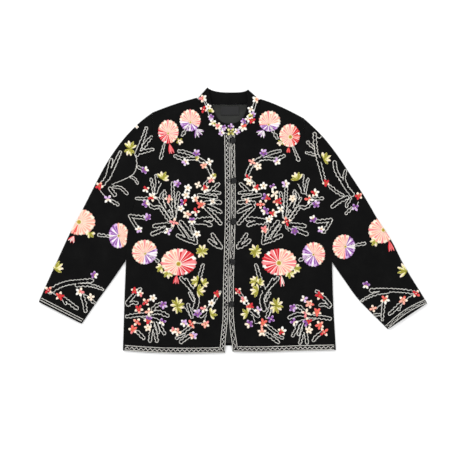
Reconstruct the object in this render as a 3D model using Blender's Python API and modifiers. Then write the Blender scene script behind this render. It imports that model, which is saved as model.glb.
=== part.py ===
"""Embroidered jacket, laid flat and face up, built piece by piece as it is cut and sewn.

The jacket lies on the plane z = 0 with its neck at +Y, so the wearer's right side is at -X.
The back lies on the plane, the back lining on the back, and the two fronts on top of them. Each sleeve
is a flattened tube. The collar is one band, folded at both sides of the neck. Round embroidered
blossoms stand up from the cloth, and five knot buttons with cord loops close the front.
All tables are in millimetres and the model is in metres.
"""

import bisect
import math

import bmesh
import bpy
from mathutils import Vector
from mathutils.bvhtree import BVHTree

MM = 0.001

# Cloth and its layers
CLOTH = 1.6  # thickness of the wool panels
LINING = 1.0  # thickness of the back lining
COLLAR = 2.6  # the collar is two layers of the cloth
LABEL = 0.8
SEAM_GAP = 0.4  # between pieces sewn edge to edge
LAYER_GAP = 0.4  # between pieces that lie on each other
PLACKET_GAP = 0.9  # between the two front edges where they meet

# Heights above the plane
LINING_TOP = CLOTH + LAYER_GAP + LINING
EDGE_TOP = 2 * CLOTH + 0.7  # top of the upper layer right at a fold or side seam
BODY_TOP = 6.8  # top of the upper layer away from the edges
EDGE_ROUND = 13.0  # how far in from an edge the upper layer reaches that height
COLLAR_LOW = COLLAR / 2  # mid height of the collar's back half
COLLAR_HIGH = 6.3  # mid height of the collar's front half

# Outlines of each half, every one from its first named end to its second
HALVES = {
    "right": {
        "shoulder": [(-92, 307), (-110, 302), (-142, 292.5), (-172, 282), (-202.5, 270)],
        "armhole": [(-202.5, 270), (-200, 215), (-210, 152), (-232, 90), (-254, 15), (-265, -48), (-268, -100)],
        "side_seam": [(-268, -100), (-272, -198), (-276, -325)],
        "hem": [(-276, -325), (-207, -330), (-120, -332.5), (-20.5, -330.5)],
        "front_edge": [(-20.5, -330.5), (-16.3, -285), (-12, -247), (-11, -160), (-7.5, -47), (-5.5, 52), (-7, 140), (-8, 219)],
        "neckline": [(-92, 307), (-80, 289), (-71, 267), (-59, 247), (-40.5, 230), (-22, 222), (-8, 219)],
        "sleeve_top": [(-202.5, 270), (-228, 252), (-272, 208), (-315, 148), (-347, 88), (-378, 27), (-410, -33), (-437, -92), (-465, -153), (-487, -203)],
        "cuff": [(-487, -203), (-378, -258.5)],
        "sleeve_under": [(-268, -100), (-301, -149), (-337, -199), (-378, -258.5)],
    },
    "left": {
        "shoulder": [(68, 304), (84, 299), (103, 292), (145, 272.5), (177.5, 255)],
        "armhole": [(177.5, 255), (179, 202), (190, 140), (210, 78), (230, 15), (243, -48), (247.5, -106)],
        "side_seam": [(247.5, -106), (250, -198), (257, -324)],
        "hem": [(257, -324), (168, -326), (67, -329), (-2, -328)],
        "front_edge": [(-2, -328), (-7.5, -285), (-12, -247), (-11, -160), (-7.5, -47), (-5.5, 52), (-7, 140), (-8, 219)],
        "neckline": [(68, 304), (66, 288), (61, 265), (49, 244), (30, 229), (10, 221.5), (-8, 219)],
        "sleeve_top": [(177.5, 255), (197, 238), (227, 208), (262, 163), (292, 117), (331, 57), (365, -2), (396, -48), (425, -107), (453, -153), (486, -206)],
        "cuff": [(486, -206), (386, -272.5)],
        "sleeve_under": [(247.5, -106), (280, -153), (316, -202), (386, -272.5)],
    },
}
BACK_NECK = [(-92, 307), (-84, 299.5), (-70, 294), (-45, 290.5), (-8, 290), (28, 290.5), (48, 293), (60, 297), (68, 304)]
BACK_HEM = [(-276, -325), (-150, -319), (-8, -313), (130, -318), (257, -324)]

# The collar band: its free edge and its fold on each side. Its sewn edge follows the neckline
COLLAR_FRONT = {
    "right": {
        "free": [(-9, 241), (-22, 242.5), (-35, 249.5), (-44, 263), (-51.5, 283), (-57, 306), (-62, 330)],
        "fold": (-85, 303.5),
        "outward": (-0.75, 0.66),
    },
    "left": {
        "free": [(-7, 241), (6, 243), (19, 250), (28.5, 263), (34, 283), (36.5, 305), (34.6, 325)],
        "fold": (61, 301),
        "outward": (0.775, 0.63),
    },
}
COLLAR_BACK_FREE = [(-62, 330), (-50, 324.5), (-32, 321), (-8, 320), (17, 320.6), (27, 322), (34.6, 325)]
COLLAR_ROWS = 4
FOLD_STEPS = 5

# Soft folds of the upper layer: a line, its half width and its height (a trough is below zero)
FOLD_COLUMNS = ("x0", "y0", "x1", "y1", "width", "height")
FOLDS = [
    (24, 214, 60, 168, 15, 0.9),
    (8, 206, 26, 150, 11, -0.7),
    (-30, 214, -62, 160, 14, 0.7),
    (-48, -12, -120, -30, 13, -0.7),
    (6, -20, 96, -34, 12, -0.8),
    (24, 6, 120, -10, 16, 0.6),
    (150, -150, 208, -190, 24, 0.8),
    (-150, -140, -214, -206, 24, 0.7),
    (-190, 100, -228, 20, 14, 0.6),
    (168, 90, 206, 20, 14, 0.6),
    (-232, 236, -216, 160, 10, -0.9),
    (-286, 60, -262, 0, 10, -0.8),
    (214, 190, 224, 110, 10, -0.9),
    (268, 66, 262, -20, 10, -0.9),
    (-330, 70, -288, -20, 18, 0.7),
    (-352, -60, -396, -160, 20, 0.5),
    (318, 20, 300, -66, 16, 0.7),
    (352, -50, 406, -170, 20, 0.5),
]
ARMHOLE_DIP = (0.7, 7.0)  # depth and half width of the hollow along an armhole seam
HEM_DIP = (1.2, 24.0)  # the front hems lie lower than the chest

# Round blossoms: centre and half sizes as worked on the cloth, and the piece that carries each
BLOSSOM_COLUMNS = ("name", "carrier", "x", "y", "half_width", "half_height")
BLOSSOMS = [
    ("blossom_right_shoulder", "front_right", -162, 221.5, 26, 30),
    ("blossom_right_collar", "front_right", -107.5, 250, 26.5, 27.5),
    ("blossom_right_elbow", "sleeve_right", -384, -4, 40, 33),
    ("blossom_right_armhole", "sleeve_right", -286, -38, 25, 32),
    ("blossom_right_side", "front_right", -221, -79, 32, 31),
    ("blossom_right_waist", "front_right", -136, -104, 45, 34),
    ("blossom_left_shoulder", "front_left", 141, 212, 26, 29),
    ("blossom_left_collar", "front_left", 91, 248, 27, 26),
    ("blossom_left_elbow", "sleeve_left", 370, -26, 33, 32),
    ("blossom_left_armhole", "sleeve_left", 276.5, -66, 28.5, 31),
    ("blossom_left_side", "front_left", 201, -85, 29, 31),
    ("blossom_left_waist", "front_left", 115, -104, 44, 34),
]
BLOSSOM_THICK = 1.0
BLOSSOM_EYE = 1.6  # height at the eye
BLOSSOM_SCALLOPS = 20
SCALLOP_DEPTH = 0.06  # of the half size
BLOSSOM_LIFT = 0.6  # above the cloth it is worked on
FOLD_MARGIN = 4.0  # a blossom stops this far from a fold
SEAM_MARGIN = 2.5  # and this far from an armhole

# Knot buttons and loops down the front
BUTTON_HEIGHTS = (199, 99, -3, -104, -210)
BUTTON_RADIUS = 5.0
BUTTON_TALL = 7.0
BUTTON_INSET = 7.4  # from the left front's edge to the button's centre
LOOP_CORD = 2.2
LOOP_TAIL = 9.0  # from the right front's edge to the loop's sewn ends

LABEL_SIZE = (46.0, 22.0)
LABEL_CENTRE = (-8.0, 274.0)

# Rows and columns of the panels, and how far the lining stays inside the back's edges
SIDE_ROWS = 8
SHOULDER_COLUMNS = 5
NECK_COLUMNS = 8
BACK_NECK_COLUMNS = 12
MARGINS = (2.5, 7, 14)  # rows and columns close to a folded edge
LINING_INSET = 15.0
LINING_NECK_INSET = 1.5
LINING_HEM_INSET = 6.0
LINING_COLUMNS = 24
LINING_ROWS = 11

# Rings along a sleeve, and the points that each has near its folds
SLEEVE_STATIONS = 21
UPPER_OUTSIDE = (0.0, 2.5, 7.0, 14.0)  # from the fold, for the points that each ring has near it
UPPER_INSIDE = (3.1, 3.9, 7.4, 14.0)
LOWER_OUTSIDE = (0.0, 2.5)
LOWER_INSIDE = (3.1, 3.9)

BLACK_WOOL = (0.012, 0.012, 0.014, 1)
CHARCOAL = (0.035, 0.035, 0.037, 1)
BLACK_SATIN = (0.016, 0.016, 0.018, 1)
BLACK_CORD = (0.010, 0.010, 0.012, 1)
PEACH = (0.85, 0.42, 0.30, 1)


def clear_scene():
    for obj in list(bpy.data.objects):
        bpy.data.objects.remove(obj, do_unlink=True)


def material(name, colour, roughness):
    """One Principled finish, made once for each name."""
    found = bpy.data.materials.get(name)
    if found:
        return found
    made = bpy.data.materials.new(name)
    made.use_nodes = True
    surface = made.node_tree.nodes["Principled BSDF"]
    surface.inputs["Base Color"].default_value = colour
    surface.inputs["Roughness"].default_value = roughness
    surface.inputs["Metallic"].default_value = 0.0
    return made


def smooth_line(points, steps=12):
    """A Catmull-Rom curve through the points, as a fine polyline."""
    points = [Vector(p) for p in points]
    if len(points) == 2:
        return [points[0].lerp(points[1], i / steps) for i in range(steps + 1)]
    ends = [2 * points[0] - points[1]] + points + [2 * points[-1] - points[-2]]
    line = []
    for a, b, c, d in zip(ends, ends[1:], ends[2:], ends[3:]):
        for i in range(steps):
            t = i / steps
            line.append(0.5 * (2 * b + (c - a) * t + (2 * a - 5 * b + 4 * c - d) * t * t
                               + (3 * b - 3 * c + d - a) * t ** 3))
    return line + [points[-1]]


def reach_of(line):
    """The length of a polyline up to each of its points."""
    reach = [0.0]
    for a, b in zip(line, line[1:]):
        reach.append(reach[-1] + (b - a).length)
    return reach


def along(line, shares):
    """Points at the given shares of a polyline's length."""
    reach = reach_of(line)
    found = []
    for share in shares:
        want = min(1.0, max(0.0, share)) * reach[-1]
        k = min(max(bisect.bisect_left(reach, want), 1), len(line) - 1)
        span = max(reach[k] - reach[k - 1], 1e-9)
        found.append(line[k - 1].lerp(line[k], (want - reach[k - 1]) / span))
    return found


def even(count):
    return [i / (count - 1) for i in range(count)]


def shares_with_margins(count, length, margins, at_start=True, at_end=False):
    """Even shares, with closer ones at the given distances from one or both ends."""
    close = [m / length for m in margins]
    first = close[-1] if at_start else 0.0
    last = 1 - close[-1] if at_end else 1.0
    shares = [first + (last - first) * s for s in even(count)]
    if at_start:
        shares = [0.0] + close[:-1] + shares
    if at_end:
        shares = shares + [1 - m for m in reversed(close[:-1])] + [1.0]
    return shares


def patch_point(low, high, first, last, corners, across, up):
    """One point of a Coons patch, from the points below, above and at both sides of it.

    across holds the shares at the low and the high edge.
    """
    u_low, u_high = across
    u = u_low + (u_high - u_low) * up
    base = corners[0].lerp(corners[1], u_low).lerp(corners[2].lerp(corners[3], u_high), up)
    return first.lerp(last, u) + low.lerp(high, up) - base


def patch(low, high, first, last, low_shares, high_shares, up):
    """Rows of plan points that blend four edges; low and high run from first to last."""
    corners = (first[0], last[0], first[-1], last[-1])
    return [[patch_point(low[i], high[i], first[j], last[j], corners, shares, v)
             for i, shares in enumerate(zip(low_shares, high_shares))]
            for j, v in enumerate(up)]


def distance_to(line, x, y):
    """Distance in plan from a point to a polyline of plan points."""
    best = 1e18
    for a, b in zip(line, line[1:]):
        span_x, span_y = b[0] - a[0], b[1] - a[1]
        away_x, away_y = x - a[0], y - a[1]
        t = (away_x * span_x + away_y * span_y) / max(span_x * span_x + span_y * span_y, 1e-9)
        t = min(1.0, max(0.0, t))
        best = min(best, (away_x - t * span_x) ** 2 + (away_y - t * span_y) ** 2)
    return math.sqrt(best)


def inset(line, amount, towards):
    """A polyline moved sideways, to the side where the given point lies."""
    moved = []
    for i, p in enumerate(line):
        tangent = line[min(i + 1, len(line) - 1)] - line[max(i - 1, 0)]
        normal = Vector((-tangent.y, tangent.x)).normalized()
        if normal.dot(Vector(towards) - p) < 0:
            normal.negate()
        moved.append(p + normal * amount)
    return moved


OUTLINES = {side: {edge: smooth_line(points) for edge, points in edges.items()}
            for side, edges in HALVES.items()}
FOLDED_EDGES = ("shoulder", "sleeve_top", "sleeve_under", "side_seam")
EDGE_LINES = [OUTLINES[side][edge] for side in OUTLINES for edge in FOLDED_EDGES]
FOLD_LINES = [dict(zip(FOLD_COLUMNS, row)) for row in FOLDS]
EDGE_DIPS = [([OUTLINES[side][edge] for side in OUTLINES], *size)
             for edge, size in (("armhole", ARMHOLE_DIP), ("hem", HEM_DIP))]


def edge_distance(x, y):
    return min(distance_to(line, x, y) for line in EDGE_LINES)


def armhole_distance(x, y):
    return min(distance_to(OUTLINES[side]["armhole"], x, y) for side in OUTLINES)


def upper_height(x, y):
    """Top of the upper cloth layer: rounded down at the folded edges, with the soft folds on it."""
    inward = min(1.0, edge_distance(x, y) / EDGE_ROUND)
    rise = math.sqrt(max(0.0, 1 - (1 - inward) ** 2))
    height = EDGE_TOP + (BODY_TOP - EDGE_TOP) * rise
    for fold in FOLD_LINES:
        line = [Vector((fold["x0"], fold["y0"])), Vector((fold["x1"], fold["y1"]))]
        away = distance_to(line, x, y) / fold["width"]
        height += fold["height"] * rise * math.exp(-away * away)
    for lines, depth, width in EDGE_DIPS:
        away = min(distance_to(line, x, y) for line in lines) / width
        height -= depth * rise * math.exp(-away * away)
    return height


def surface_object(name, rows, look, closed_ring=False):
    """An open surface of quads through rows of points in millimetres, facing up."""
    shape = bmesh.new()
    grid = [[shape.verts.new(Vector(p) * MM) for p in row] for row in rows]
    for lower, upper in zip(grid, grid[1:]):
        count = len(lower) if closed_ring else len(lower) - 1
        for i in range(count):
            k = (i + 1) % len(lower)
            shape.faces.new((lower[i], lower[k], upper[k], upper[i]))
    shape.normal_update()
    highest = max(shape.faces, key=lambda face: face.calc_center_median().z)
    if highest.normal.z < 0:
        bmesh.ops.reverse_faces(shape, faces=shape.faces)
    return object_from(name, shape, look)


def object_from(name, shape, look):
    mesh = bpy.data.meshes.new(name)
    shape.to_mesh(mesh)
    shape.free()
    mesh.materials.append(look)
    mesh.shade_smooth()
    mesh.set_sharp_from_angle(angle=math.radians(50))
    obj = bpy.data.objects.new(name, mesh)
    bpy.context.scene.collection.children["embroidered_jacket"].objects.link(obj)
    return obj


def thicken(obj, thickness, offset=-1.0):
    """Gives a surface its cloth thickness, below the surface by default."""
    wall = obj.modifiers.new("cloth", "SOLIDIFY")
    wall.thickness = thickness * MM
    wall.offset = offset
    wall.use_even_offset = True
    return obj


def armhole_shares(side, upper):
    """Where the rows of both pieces meet an armhole, so that their edges match."""
    length = reach_of(OUTLINES[side]["armhole"])[-1]
    if upper:
        return shares_with_margins(9, length, MARGINS, at_end=True)
    return shares_with_margins(9, length, MARGINS[:1], at_end=True)


def armhole_points(side, upper):
    return along(OUTLINES[side]["armhole"], armhole_shares(side, upper))


def outer_points(side, upper):
    """Points up a panel's outer edge: the side seam, then the armhole."""
    seam = along(OUTLINES[side]["side_seam"][::-1], even(SIDE_ROWS))
    return seam[:-1] + armhole_points(side, upper)[::-1]


def shares_of(points):
    reach = reach_of(points)
    return [r / reach[-1] for r in reach]


def make_back(look):
    """The back lies on the plane, its top flat too."""
    first, last = outer_points("right", False), outer_points("left", False)
    shoulders = [along(OUTLINES[side]["shoulder"][::-1], even(SHOULDER_COLUMNS + 1)) for side in HALVES]
    high = shoulders[0][:-1] + back_neck_points() + shoulders[1][::-1][1:]
    across = shares_of(high)
    low = along(smooth_line(BACK_HEM), across)
    rows = patch(low, high, first, last, across, across, shares_of(first))
    placed = [[(p.x, p.y, CLOTH) for p in row] for row in rows]
    return thicken(surface_object("back", placed, look), CLOTH)


def back_neck_points():
    return along(smooth_line(BACK_NECK), even(BACK_NECK_COLUMNS + 1))


def make_lining(look):
    """The back lining: it shows in the neck and between the fronts at the hem."""
    first, last = (along(outer_points(side, False), even(60)) for side in HALVES)
    shoulders = [OUTLINES[side]["shoulder"] for side in HALVES]
    high = shoulders[0][::-1] + smooth_line(BACK_NECK)[1:-1] + shoulders[1]
    width, height = reach_of(high)[-1], reach_of(first)[-1]
    side = LINING_INSET / width
    neck = (reach_of(shoulders[0])[-1] / width + side, 1 - reach_of(shoulders[1])[-1] / width - side)
    hem = LINING_HEM_INSET / height
    across = [side + (1 - 2 * side) * s for s in even(LINING_COLUMNS + 1)]
    low, top = along(smooth_line(BACK_HEM), across), along(high, across)
    corners = (first[0], last[0], first[-1], last[-1])
    rows = []
    for share in even(LINING_ROWS + 1):
        row = []
        for i, u in enumerate(across):
            top_inset = LINING_NECK_INSET if neck[0] < u < neck[1] else LINING_INSET
            v = hem + share * (1 - hem - top_inset / height)
            sides = along(first, [v])[0], along(last, [v])[0]
            row.append(patch_point(low[i], top[i], *sides, corners, (u, u), v))
        rows.append(row)
    placed = [[(p.x, p.y, LINING_TOP) for p in row] for row in rows]
    return thicken(surface_object("back_lining", placed, look), LINING)


def neckline_points(side):
    """From the shoulder to the front edge, so that the collar can match them."""
    points = along(OUTLINES[side]["neckline"], even(NECK_COLUMNS + 1))
    points[-1] = front_edge(side)[-1]
    return points


def front_edge(side):
    """The front edge, moved back from the opening's middle line."""
    return inset(OUTLINES[side]["front_edge"], PLACKET_GAP / 2, HALVES[side]["hem"][0])


def make_front(side, look):
    """One front, from its side seam and armhole to the front edge, as the upper layer."""
    edges = OUTLINES[side]
    first = outer_points(side, True)
    up = shares_of(first)
    last = along(front_edge(side), up)
    shoulder = along(edges["shoulder"][::-1], even(SHOULDER_COLUMNS + 1))
    high = shoulder[:-1] + neckline_points(side)
    low_shares = shares_with_margins(len(high) - len(MARGINS), reach_of(edges["hem"])[-1], MARGINS)
    low = along(edges["hem"], low_shares)
    low[-1] = last[0]
    rows = patch(low, high, first, last, low_shares, shares_of(high), up)
    placed = [[(p.x, p.y, upper_height(p.x, p.y)) for p in row] for row in rows]
    return thicken(surface_object("front_" + side, placed, look), CLOTH)


def ring_shares(length, margins, count):
    """Shares across a sleeve: points close to each fold, even ones between them."""
    close = [m / length for m in margins]
    between = [close[-1] + (1 - 2 * close[-1]) * s for s in even(count)]
    return close[:-1] + between + [1 - c for c in reversed(close[:-1])]


def sleeve_half(side, margins, upper):
    """Plan rows of one layer of a sleeve, from the armhole to the cuff."""
    edges = OUTLINES[side]
    stations = even(SLEEVE_STATIONS)
    arm = inset(armhole_points(side, upper), SEAM_GAP, HALVES[side]["cuff"][0])
    count = len(arm) - 2 * (len(margins) - 1)
    first = [arm[0]] + along(edges["sleeve_top"], stations)[1:]
    last = [arm[-1]] + along(edges["sleeve_under"], stations)[1:]
    arm_shares = ring_shares(reach_of(arm)[-1], margins, count)
    cuff_shares = ring_shares(reach_of(edges["cuff"])[-1], margins, count)
    low, high = along(arm, arm_shares), along(edges["cuff"], cuff_shares)
    return patch(low, high, first, last, arm_shares, cuff_shares, stations)


def make_sleeve(side, look):
    """One sleeve: a flattened tube of rings from the armhole to the cuff, open at both ends."""
    def rings(upper_margins, lower_margins, wall):
        upper = sleeve_half(side, upper_margins, True)
        lower = sleeve_half(side, lower_margins, False)
        found = []
        for over, below in zip(upper, lower):
            ends = [(p.x, p.y, EDGE_TOP / 2) for p in (over[0], over[-1])]
            top = [(p.x, p.y, upper_height(p.x, p.y) - wall) for p in over[1:-1]]
            base = [(p.x, p.y, wall) for p in below[-2:0:-1]]
            found.append([ends[0]] + top + [ends[1]] + base)
        return found

    outside = rings(UPPER_OUTSIDE, LOWER_OUTSIDE, 0.0)
    inside = rings(UPPER_INSIDE, LOWER_INSIDE, CLOTH)
    shape = bmesh.new()
    skins = [[[shape.verts.new(Vector(p) * MM) for p in ring] for ring in skin] for skin in (outside, inside)]
    count = len(outside[0])
    for skin in skins:
        for one, other in zip(skin, skin[1:]):
            for i in range(count):
                k = (i + 1) % count
                corners = (one[i], one[k], other[k], other[i])
                shape.faces.new(corners if skin is skins[0] else corners[::-1])
    for end in (0, -1):
        out, inner = skins[0][end], skins[1][end]
        for i in range(count):
            k = (i + 1) % count
            corners = (out[k], out[i], inner[i], inner[k])
            shape.faces.new(corners if end == 0 else corners[::-1])
    bmesh.ops.recalc_face_normals(shape, faces=shape.faces)
    return object_from("sleeve_" + side, shape, look)


def collar_stations():
    """Pairs of sewn and free edge points, from the right front end round the neck to the left one."""
    middle = Vector((-8, 300))

    def front(side):
        """The high half, from the centre front to the fold."""
        edges = COLLAR_FRONT[side]
        sewn = inset(neckline_points(side), SEAM_GAP, middle)[::-1][:-1]
        end = Vector(edges["fold"])
        sewn.append(end)
        free = along(smooth_line(edges["free"]), even(len(sewn)))
        return [tuple(p.to_3d() + Vector((0, 0, COLLAR_HIGH)) for p in pair) for pair in zip(sewn, free)]

    def fold(side):
        """Half a turn from the high front half down to the low back half."""
        edges = COLLAR_FRONT[side]
        radius = (COLLAR_HIGH - COLLAR_LOW) / 2
        outward = Vector(edges["outward"]).normalized()
        pairs = []
        for k in range(1, FOLD_STEPS):
            angle = math.pi * k / FOLD_STEPS
            shift = (outward * math.sin(angle) * radius).to_3d()
            shift.z = (COLLAR_HIGH + COLLAR_LOW) / 2 + math.cos(angle) * radius
            pairs.append(tuple(Vector(p).to_3d() + shift for p in (edges["fold"], edges["free"][-1])))
        return pairs

    sewn = inset(back_neck_points(), SEAM_GAP, Vector((-8, 400)))
    sewn[0], sewn[-1] = (Vector(COLLAR_FRONT[side]["fold"]) for side in ("right", "left"))
    free = along(smooth_line(COLLAR_BACK_FREE), even(len(sewn)))
    low = [tuple(p.to_3d() + Vector((0, 0, COLLAR_LOW)) for p in pair) for pair in zip(sewn, free)]
    stations = front("right") + fold("right") + low
    return stations + fold("left")[::-1] + front("left")[::-1]


def make_collar(look):
    stations = collar_stations()
    rows = [[sewn.lerp(free, k / (COLLAR_ROWS - 1)) for sewn, free in stations] for k in range(COLLAR_ROWS)]
    return thicken(surface_object("collar", rows, look), COLLAR, offset=0.0)


def top_of(obj):
    """A function that gives an object's highest surface at a plan point, in millimetres."""
    graph = bpy.context.evaluated_depsgraph_get()
    tree = BVHTree.FromObject(obj, graph)

    def height(x, y):
        hit = tree.ray_cast(Vector((x, y, 100)) * MM, Vector((0, 0, -1)))
        return None if hit[0] is None else hit[0].z / MM

    return height


def room_for(x, y):
    """How far a plan point is inside the area that a blossom may cover."""
    return min(edge_distance(x, y) - FOLD_MARGIN, armhole_distance(x, y) - SEAM_MARGIN)


def clipped_reach(centre, direction, reach):
    """The reach from a centre along a direction, stopped where the room ends."""
    steps = 24
    for k in range(1, steps + 1):
        p = centre + direction * (reach * k / steps)
        if room_for(p.x, p.y) < 0:
            return reach * (k - 1) / steps
    return reach


def make_blossom(row, carrier, look):
    """A round blossom: a scalloped pad that follows the cloth, thickest at its eye."""
    spokes = 2 * BLOSSOM_SCALLOPS
    centre = Vector((row["x"], row["y"]))
    height = top_of(carrier)
    rim = []
    for k in range(spokes):
        angle = 2 * math.pi * k / spokes
        size = 1 - (SCALLOP_DEPTH if k % 2 else 0)
        direction = Vector((math.cos(angle) * row["half_width"], math.sin(angle) * row["half_height"])) * size
        rim.append(clipped_reach(centre, direction.normalized(), direction.length) * direction.normalized())
    shape = bmesh.new()

    def vert(plan, above):
        z = height(plan.x, plan.y)
        return shape.verts.new(Vector((plan.x, plan.y, z + above)) * MM)

    def ring(share, above, step=1):
        return [vert(centre + rim[k] * share, above) for k in range(0, spokes, step)]

    def join(outer, inner, flip):
        """Faces between a ring and one with half as many points, or between equal rings."""
        ratio = len(outer) // len(inner)
        for i in range(len(inner)):
            k = (i + 1) % len(inner)
            span = [outer[(ratio * i + n) % len(outer)] for n in range(ratio + 1)]
            corners = span + [inner[k], inner[i]]
            shape.faces.new(corners[::-1] if flip else corners)

    levels = []
    for flip, above, eye in ((False, BLOSSOM_THICK, BLOSSOM_EYE), (True, 0.0, 0.0)):
        lift = BLOSSOM_LIFT
        edge = ring(1.0, lift + above * (0.75 if above else 0))
        inner = ring(0.55, lift + above, step=2)
        middle = vert(centre, lift + eye)
        join(edge, inner, flip)
        for i in range(len(inner)):
            k = (i + 1) % len(inner)
            corners = [inner[i], inner[k], middle]
            shape.faces.new(corners[::-1] if flip else corners)
        levels.append(edge)
    upper, lower = levels
    for i in range(spokes):
        k = (i + 1) % spokes
        shape.faces.new((lower[i], lower[k], upper[k], upper[i]))
    bmesh.ops.triangulate(shape, faces=shape.faces)
    return object_from(row["name"], shape, look)


def opening_at(y):
    """Where the front opening is at a height up the jacket."""
    line = OUTLINES["left"]["front_edge"]
    return min(line, key=lambda p: abs(p.y - y)).x


def make_button(number, y, height, look):
    x = opening_at(y) + BUTTON_INSET
    lowest = max(height(x + dx, y + dy) for dx in (-4, 0, 4) for dy in (-4, 0, 4)) + LAYER_GAP
    shape = bmesh.new()
    bmesh.ops.create_uvsphere(shape, u_segments=14, v_segments=9, radius=1.0)
    bmesh.ops.scale(shape, vec=Vector((BUTTON_RADIUS, BUTTON_RADIUS, BUTTON_TALL / 2)) * MM, verts=shape.verts)
    button = object_from(f"button_{number}", shape, look)
    button.location = Vector((x, y, lowest + BUTTON_TALL / 2)) * MM
    return button


def make_loop(number, y, heights, look):
    """A cord from the right front's edge, round the knot button and back."""
    centre = Vector((opening_at(y) + BUTTON_INSET, y))
    radius = BUTTON_RADIUS + LAYER_GAP + LOOP_CORD / 2
    tail_x = opening_at(y) - LOOP_TAIL
    plan = [Vector((tail_x, y + LOOP_CORD * 0.8))]
    turn = math.radians(145)
    for k in range(13):
        angle = turn - 2 * turn * k / 12
        plan.append(centre + radius * Vector((math.cos(angle), math.sin(angle))))
    plan.append(Vector((tail_x, y - LOOP_CORD * 0.8)))
    plan = along(plan, even(24))
    cloth = max(h for p in plan for h in (f(p.x, p.y) for f in heights) if h is not None)
    curve = bpy.data.curves.new(f"loop_{number}", "CURVE")
    curve.dimensions = "3D"
    curve.bevel_depth = LOOP_CORD / 2 * MM
    curve.bevel_resolution = 1
    curve.use_fill_caps = True
    spline = curve.splines.new("POLY")
    spline.points.add(len(plan) - 1)
    for point, p in zip(spline.points, plan):
        point.co = (p.x * MM, p.y * MM, (cloth + LAYER_GAP + LOOP_CORD / 2) * MM, 1)
    curve.materials.append(look)
    loop = bpy.data.objects.new(f"loop_{number}", curve)
    bpy.context.scene.collection.children["embroidered_jacket"].objects.link(loop)
    return loop


def make_label(look):
    """The woven label on the lining below the back neck, left bare."""
    shape = bmesh.new()
    bmesh.ops.create_cube(shape, size=1.0)
    bmesh.ops.scale(shape, vec=Vector((*LABEL_SIZE, LABEL)) * MM, verts=shape.verts)
    label = object_from("neck_label", shape, look)
    label.location = Vector((*LABEL_CENTRE, LINING_TOP + LAYER_GAP + LABEL / 2)) * MM
    return label


def build():
    clear_scene()
    collection = bpy.data.collections.new("embroidered_jacket")
    bpy.context.scene.collection.children.link(collection)
    wool = material("black_wool", BLACK_WOOL, 0.95)
    cord = material("black_cord", BLACK_CORD, 0.7)
    make_back(wool)
    make_lining(material("charcoal_lining", CHARCOAL, 0.6))
    make_label(material("black_satin", BLACK_SATIN, 0.4))
    carriers = {}
    for side in HALVES:
        carriers["front_" + side] = make_front(side, wool)
        carriers["sleeve_" + side] = make_sleeve(side, wool)
    make_collar(wool)
    bpy.context.view_layer.update()
    for values in BLOSSOMS:
        row = dict(zip(BLOSSOM_COLUMNS, values))
        make_blossom(row, carriers[row["carrier"]], material("blossom_yarn", PEACH, 0.8))
    fronts = [top_of(carriers["front_right"]), top_of(carriers["front_left"])]
    for number, y in enumerate(BUTTON_HEIGHTS, start=1):
        make_button(number, y, fronts[1], cord)
        make_loop(number, y, fronts, cord)


build()
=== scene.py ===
"""Looks of the embroidered jacket: wool cloth, lining, closures and yarn embroidery, laid flat.

Sizes are in millimetres and the scene is in metres. Motifs are placed in layout steps of 2.5 mm,
which are the photograph's pixels, counted right (u) and down (v) and judged. Everything sewn
on the cloth takes its height from the cloth that carries it.
"""

import math

import bmesh
import bpy
import numpy as np
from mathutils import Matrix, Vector, noise
from mathutils.bvhtree import BVHTree


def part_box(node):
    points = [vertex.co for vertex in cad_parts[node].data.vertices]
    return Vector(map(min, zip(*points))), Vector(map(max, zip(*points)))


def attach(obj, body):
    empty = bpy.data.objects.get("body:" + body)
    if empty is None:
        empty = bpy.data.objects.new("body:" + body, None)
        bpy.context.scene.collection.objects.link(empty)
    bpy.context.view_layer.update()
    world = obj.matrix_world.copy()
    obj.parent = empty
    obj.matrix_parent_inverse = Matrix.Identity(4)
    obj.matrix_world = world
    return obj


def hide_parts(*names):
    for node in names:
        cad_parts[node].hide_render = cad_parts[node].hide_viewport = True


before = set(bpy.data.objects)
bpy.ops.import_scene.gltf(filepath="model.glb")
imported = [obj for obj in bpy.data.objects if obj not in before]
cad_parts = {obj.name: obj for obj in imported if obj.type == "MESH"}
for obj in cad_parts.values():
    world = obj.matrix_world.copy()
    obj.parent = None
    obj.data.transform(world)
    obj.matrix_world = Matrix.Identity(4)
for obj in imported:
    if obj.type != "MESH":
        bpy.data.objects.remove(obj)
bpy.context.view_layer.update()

MM = 0.001
UP = np.array((0.0, 0.0, 1.0))
DOWN = Vector((0, 0, -1))
ABOVE = 0.1  # metres, higher than anything here

# Layout grid of the motif tables
STEP = 2.5
ZERO_U, ZERO_V = 233.2, 220.4  # the layout place of the model's origin
LAYOUT_SIDE = 460  # steps across and down the whole picture

CARRIERS = ("back", "back_lining", "sleeve_right", "sleeve_left", "front_right", "front_left", "collar")

rng = np.random.default_rng(7)


def place(u, v):
    """A layout place in millimetres."""
    return np.array(((u - ZERO_U) * STEP, (ZERO_V - v) * STEP))


def box_mm(node):
    """The lowest and the highest corner of a CAD node's box, in millimetres."""
    return [np.array(corner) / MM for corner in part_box(node)]


def add_object(name, mesh):
    obj = bpy.data.objects.new(name, mesh)
    bpy.context.scene.collection.objects.link(obj)
    return obj


def stands_for(obj, node):
    """Puts a finished piece in the place of the CAD node that it shows."""
    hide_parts(node)
    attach(obj, "root")


# materials
def srgb(red, green, blue):
    """A colour as the eye names it, from 0 to 255, turned into linear light."""
    return tuple((c / 255 / 12.92) if c <= 10 else ((c / 255 + 0.055) / 1.055) ** 2.4
                 for c in (red, green, blue)) + (1,)


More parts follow.
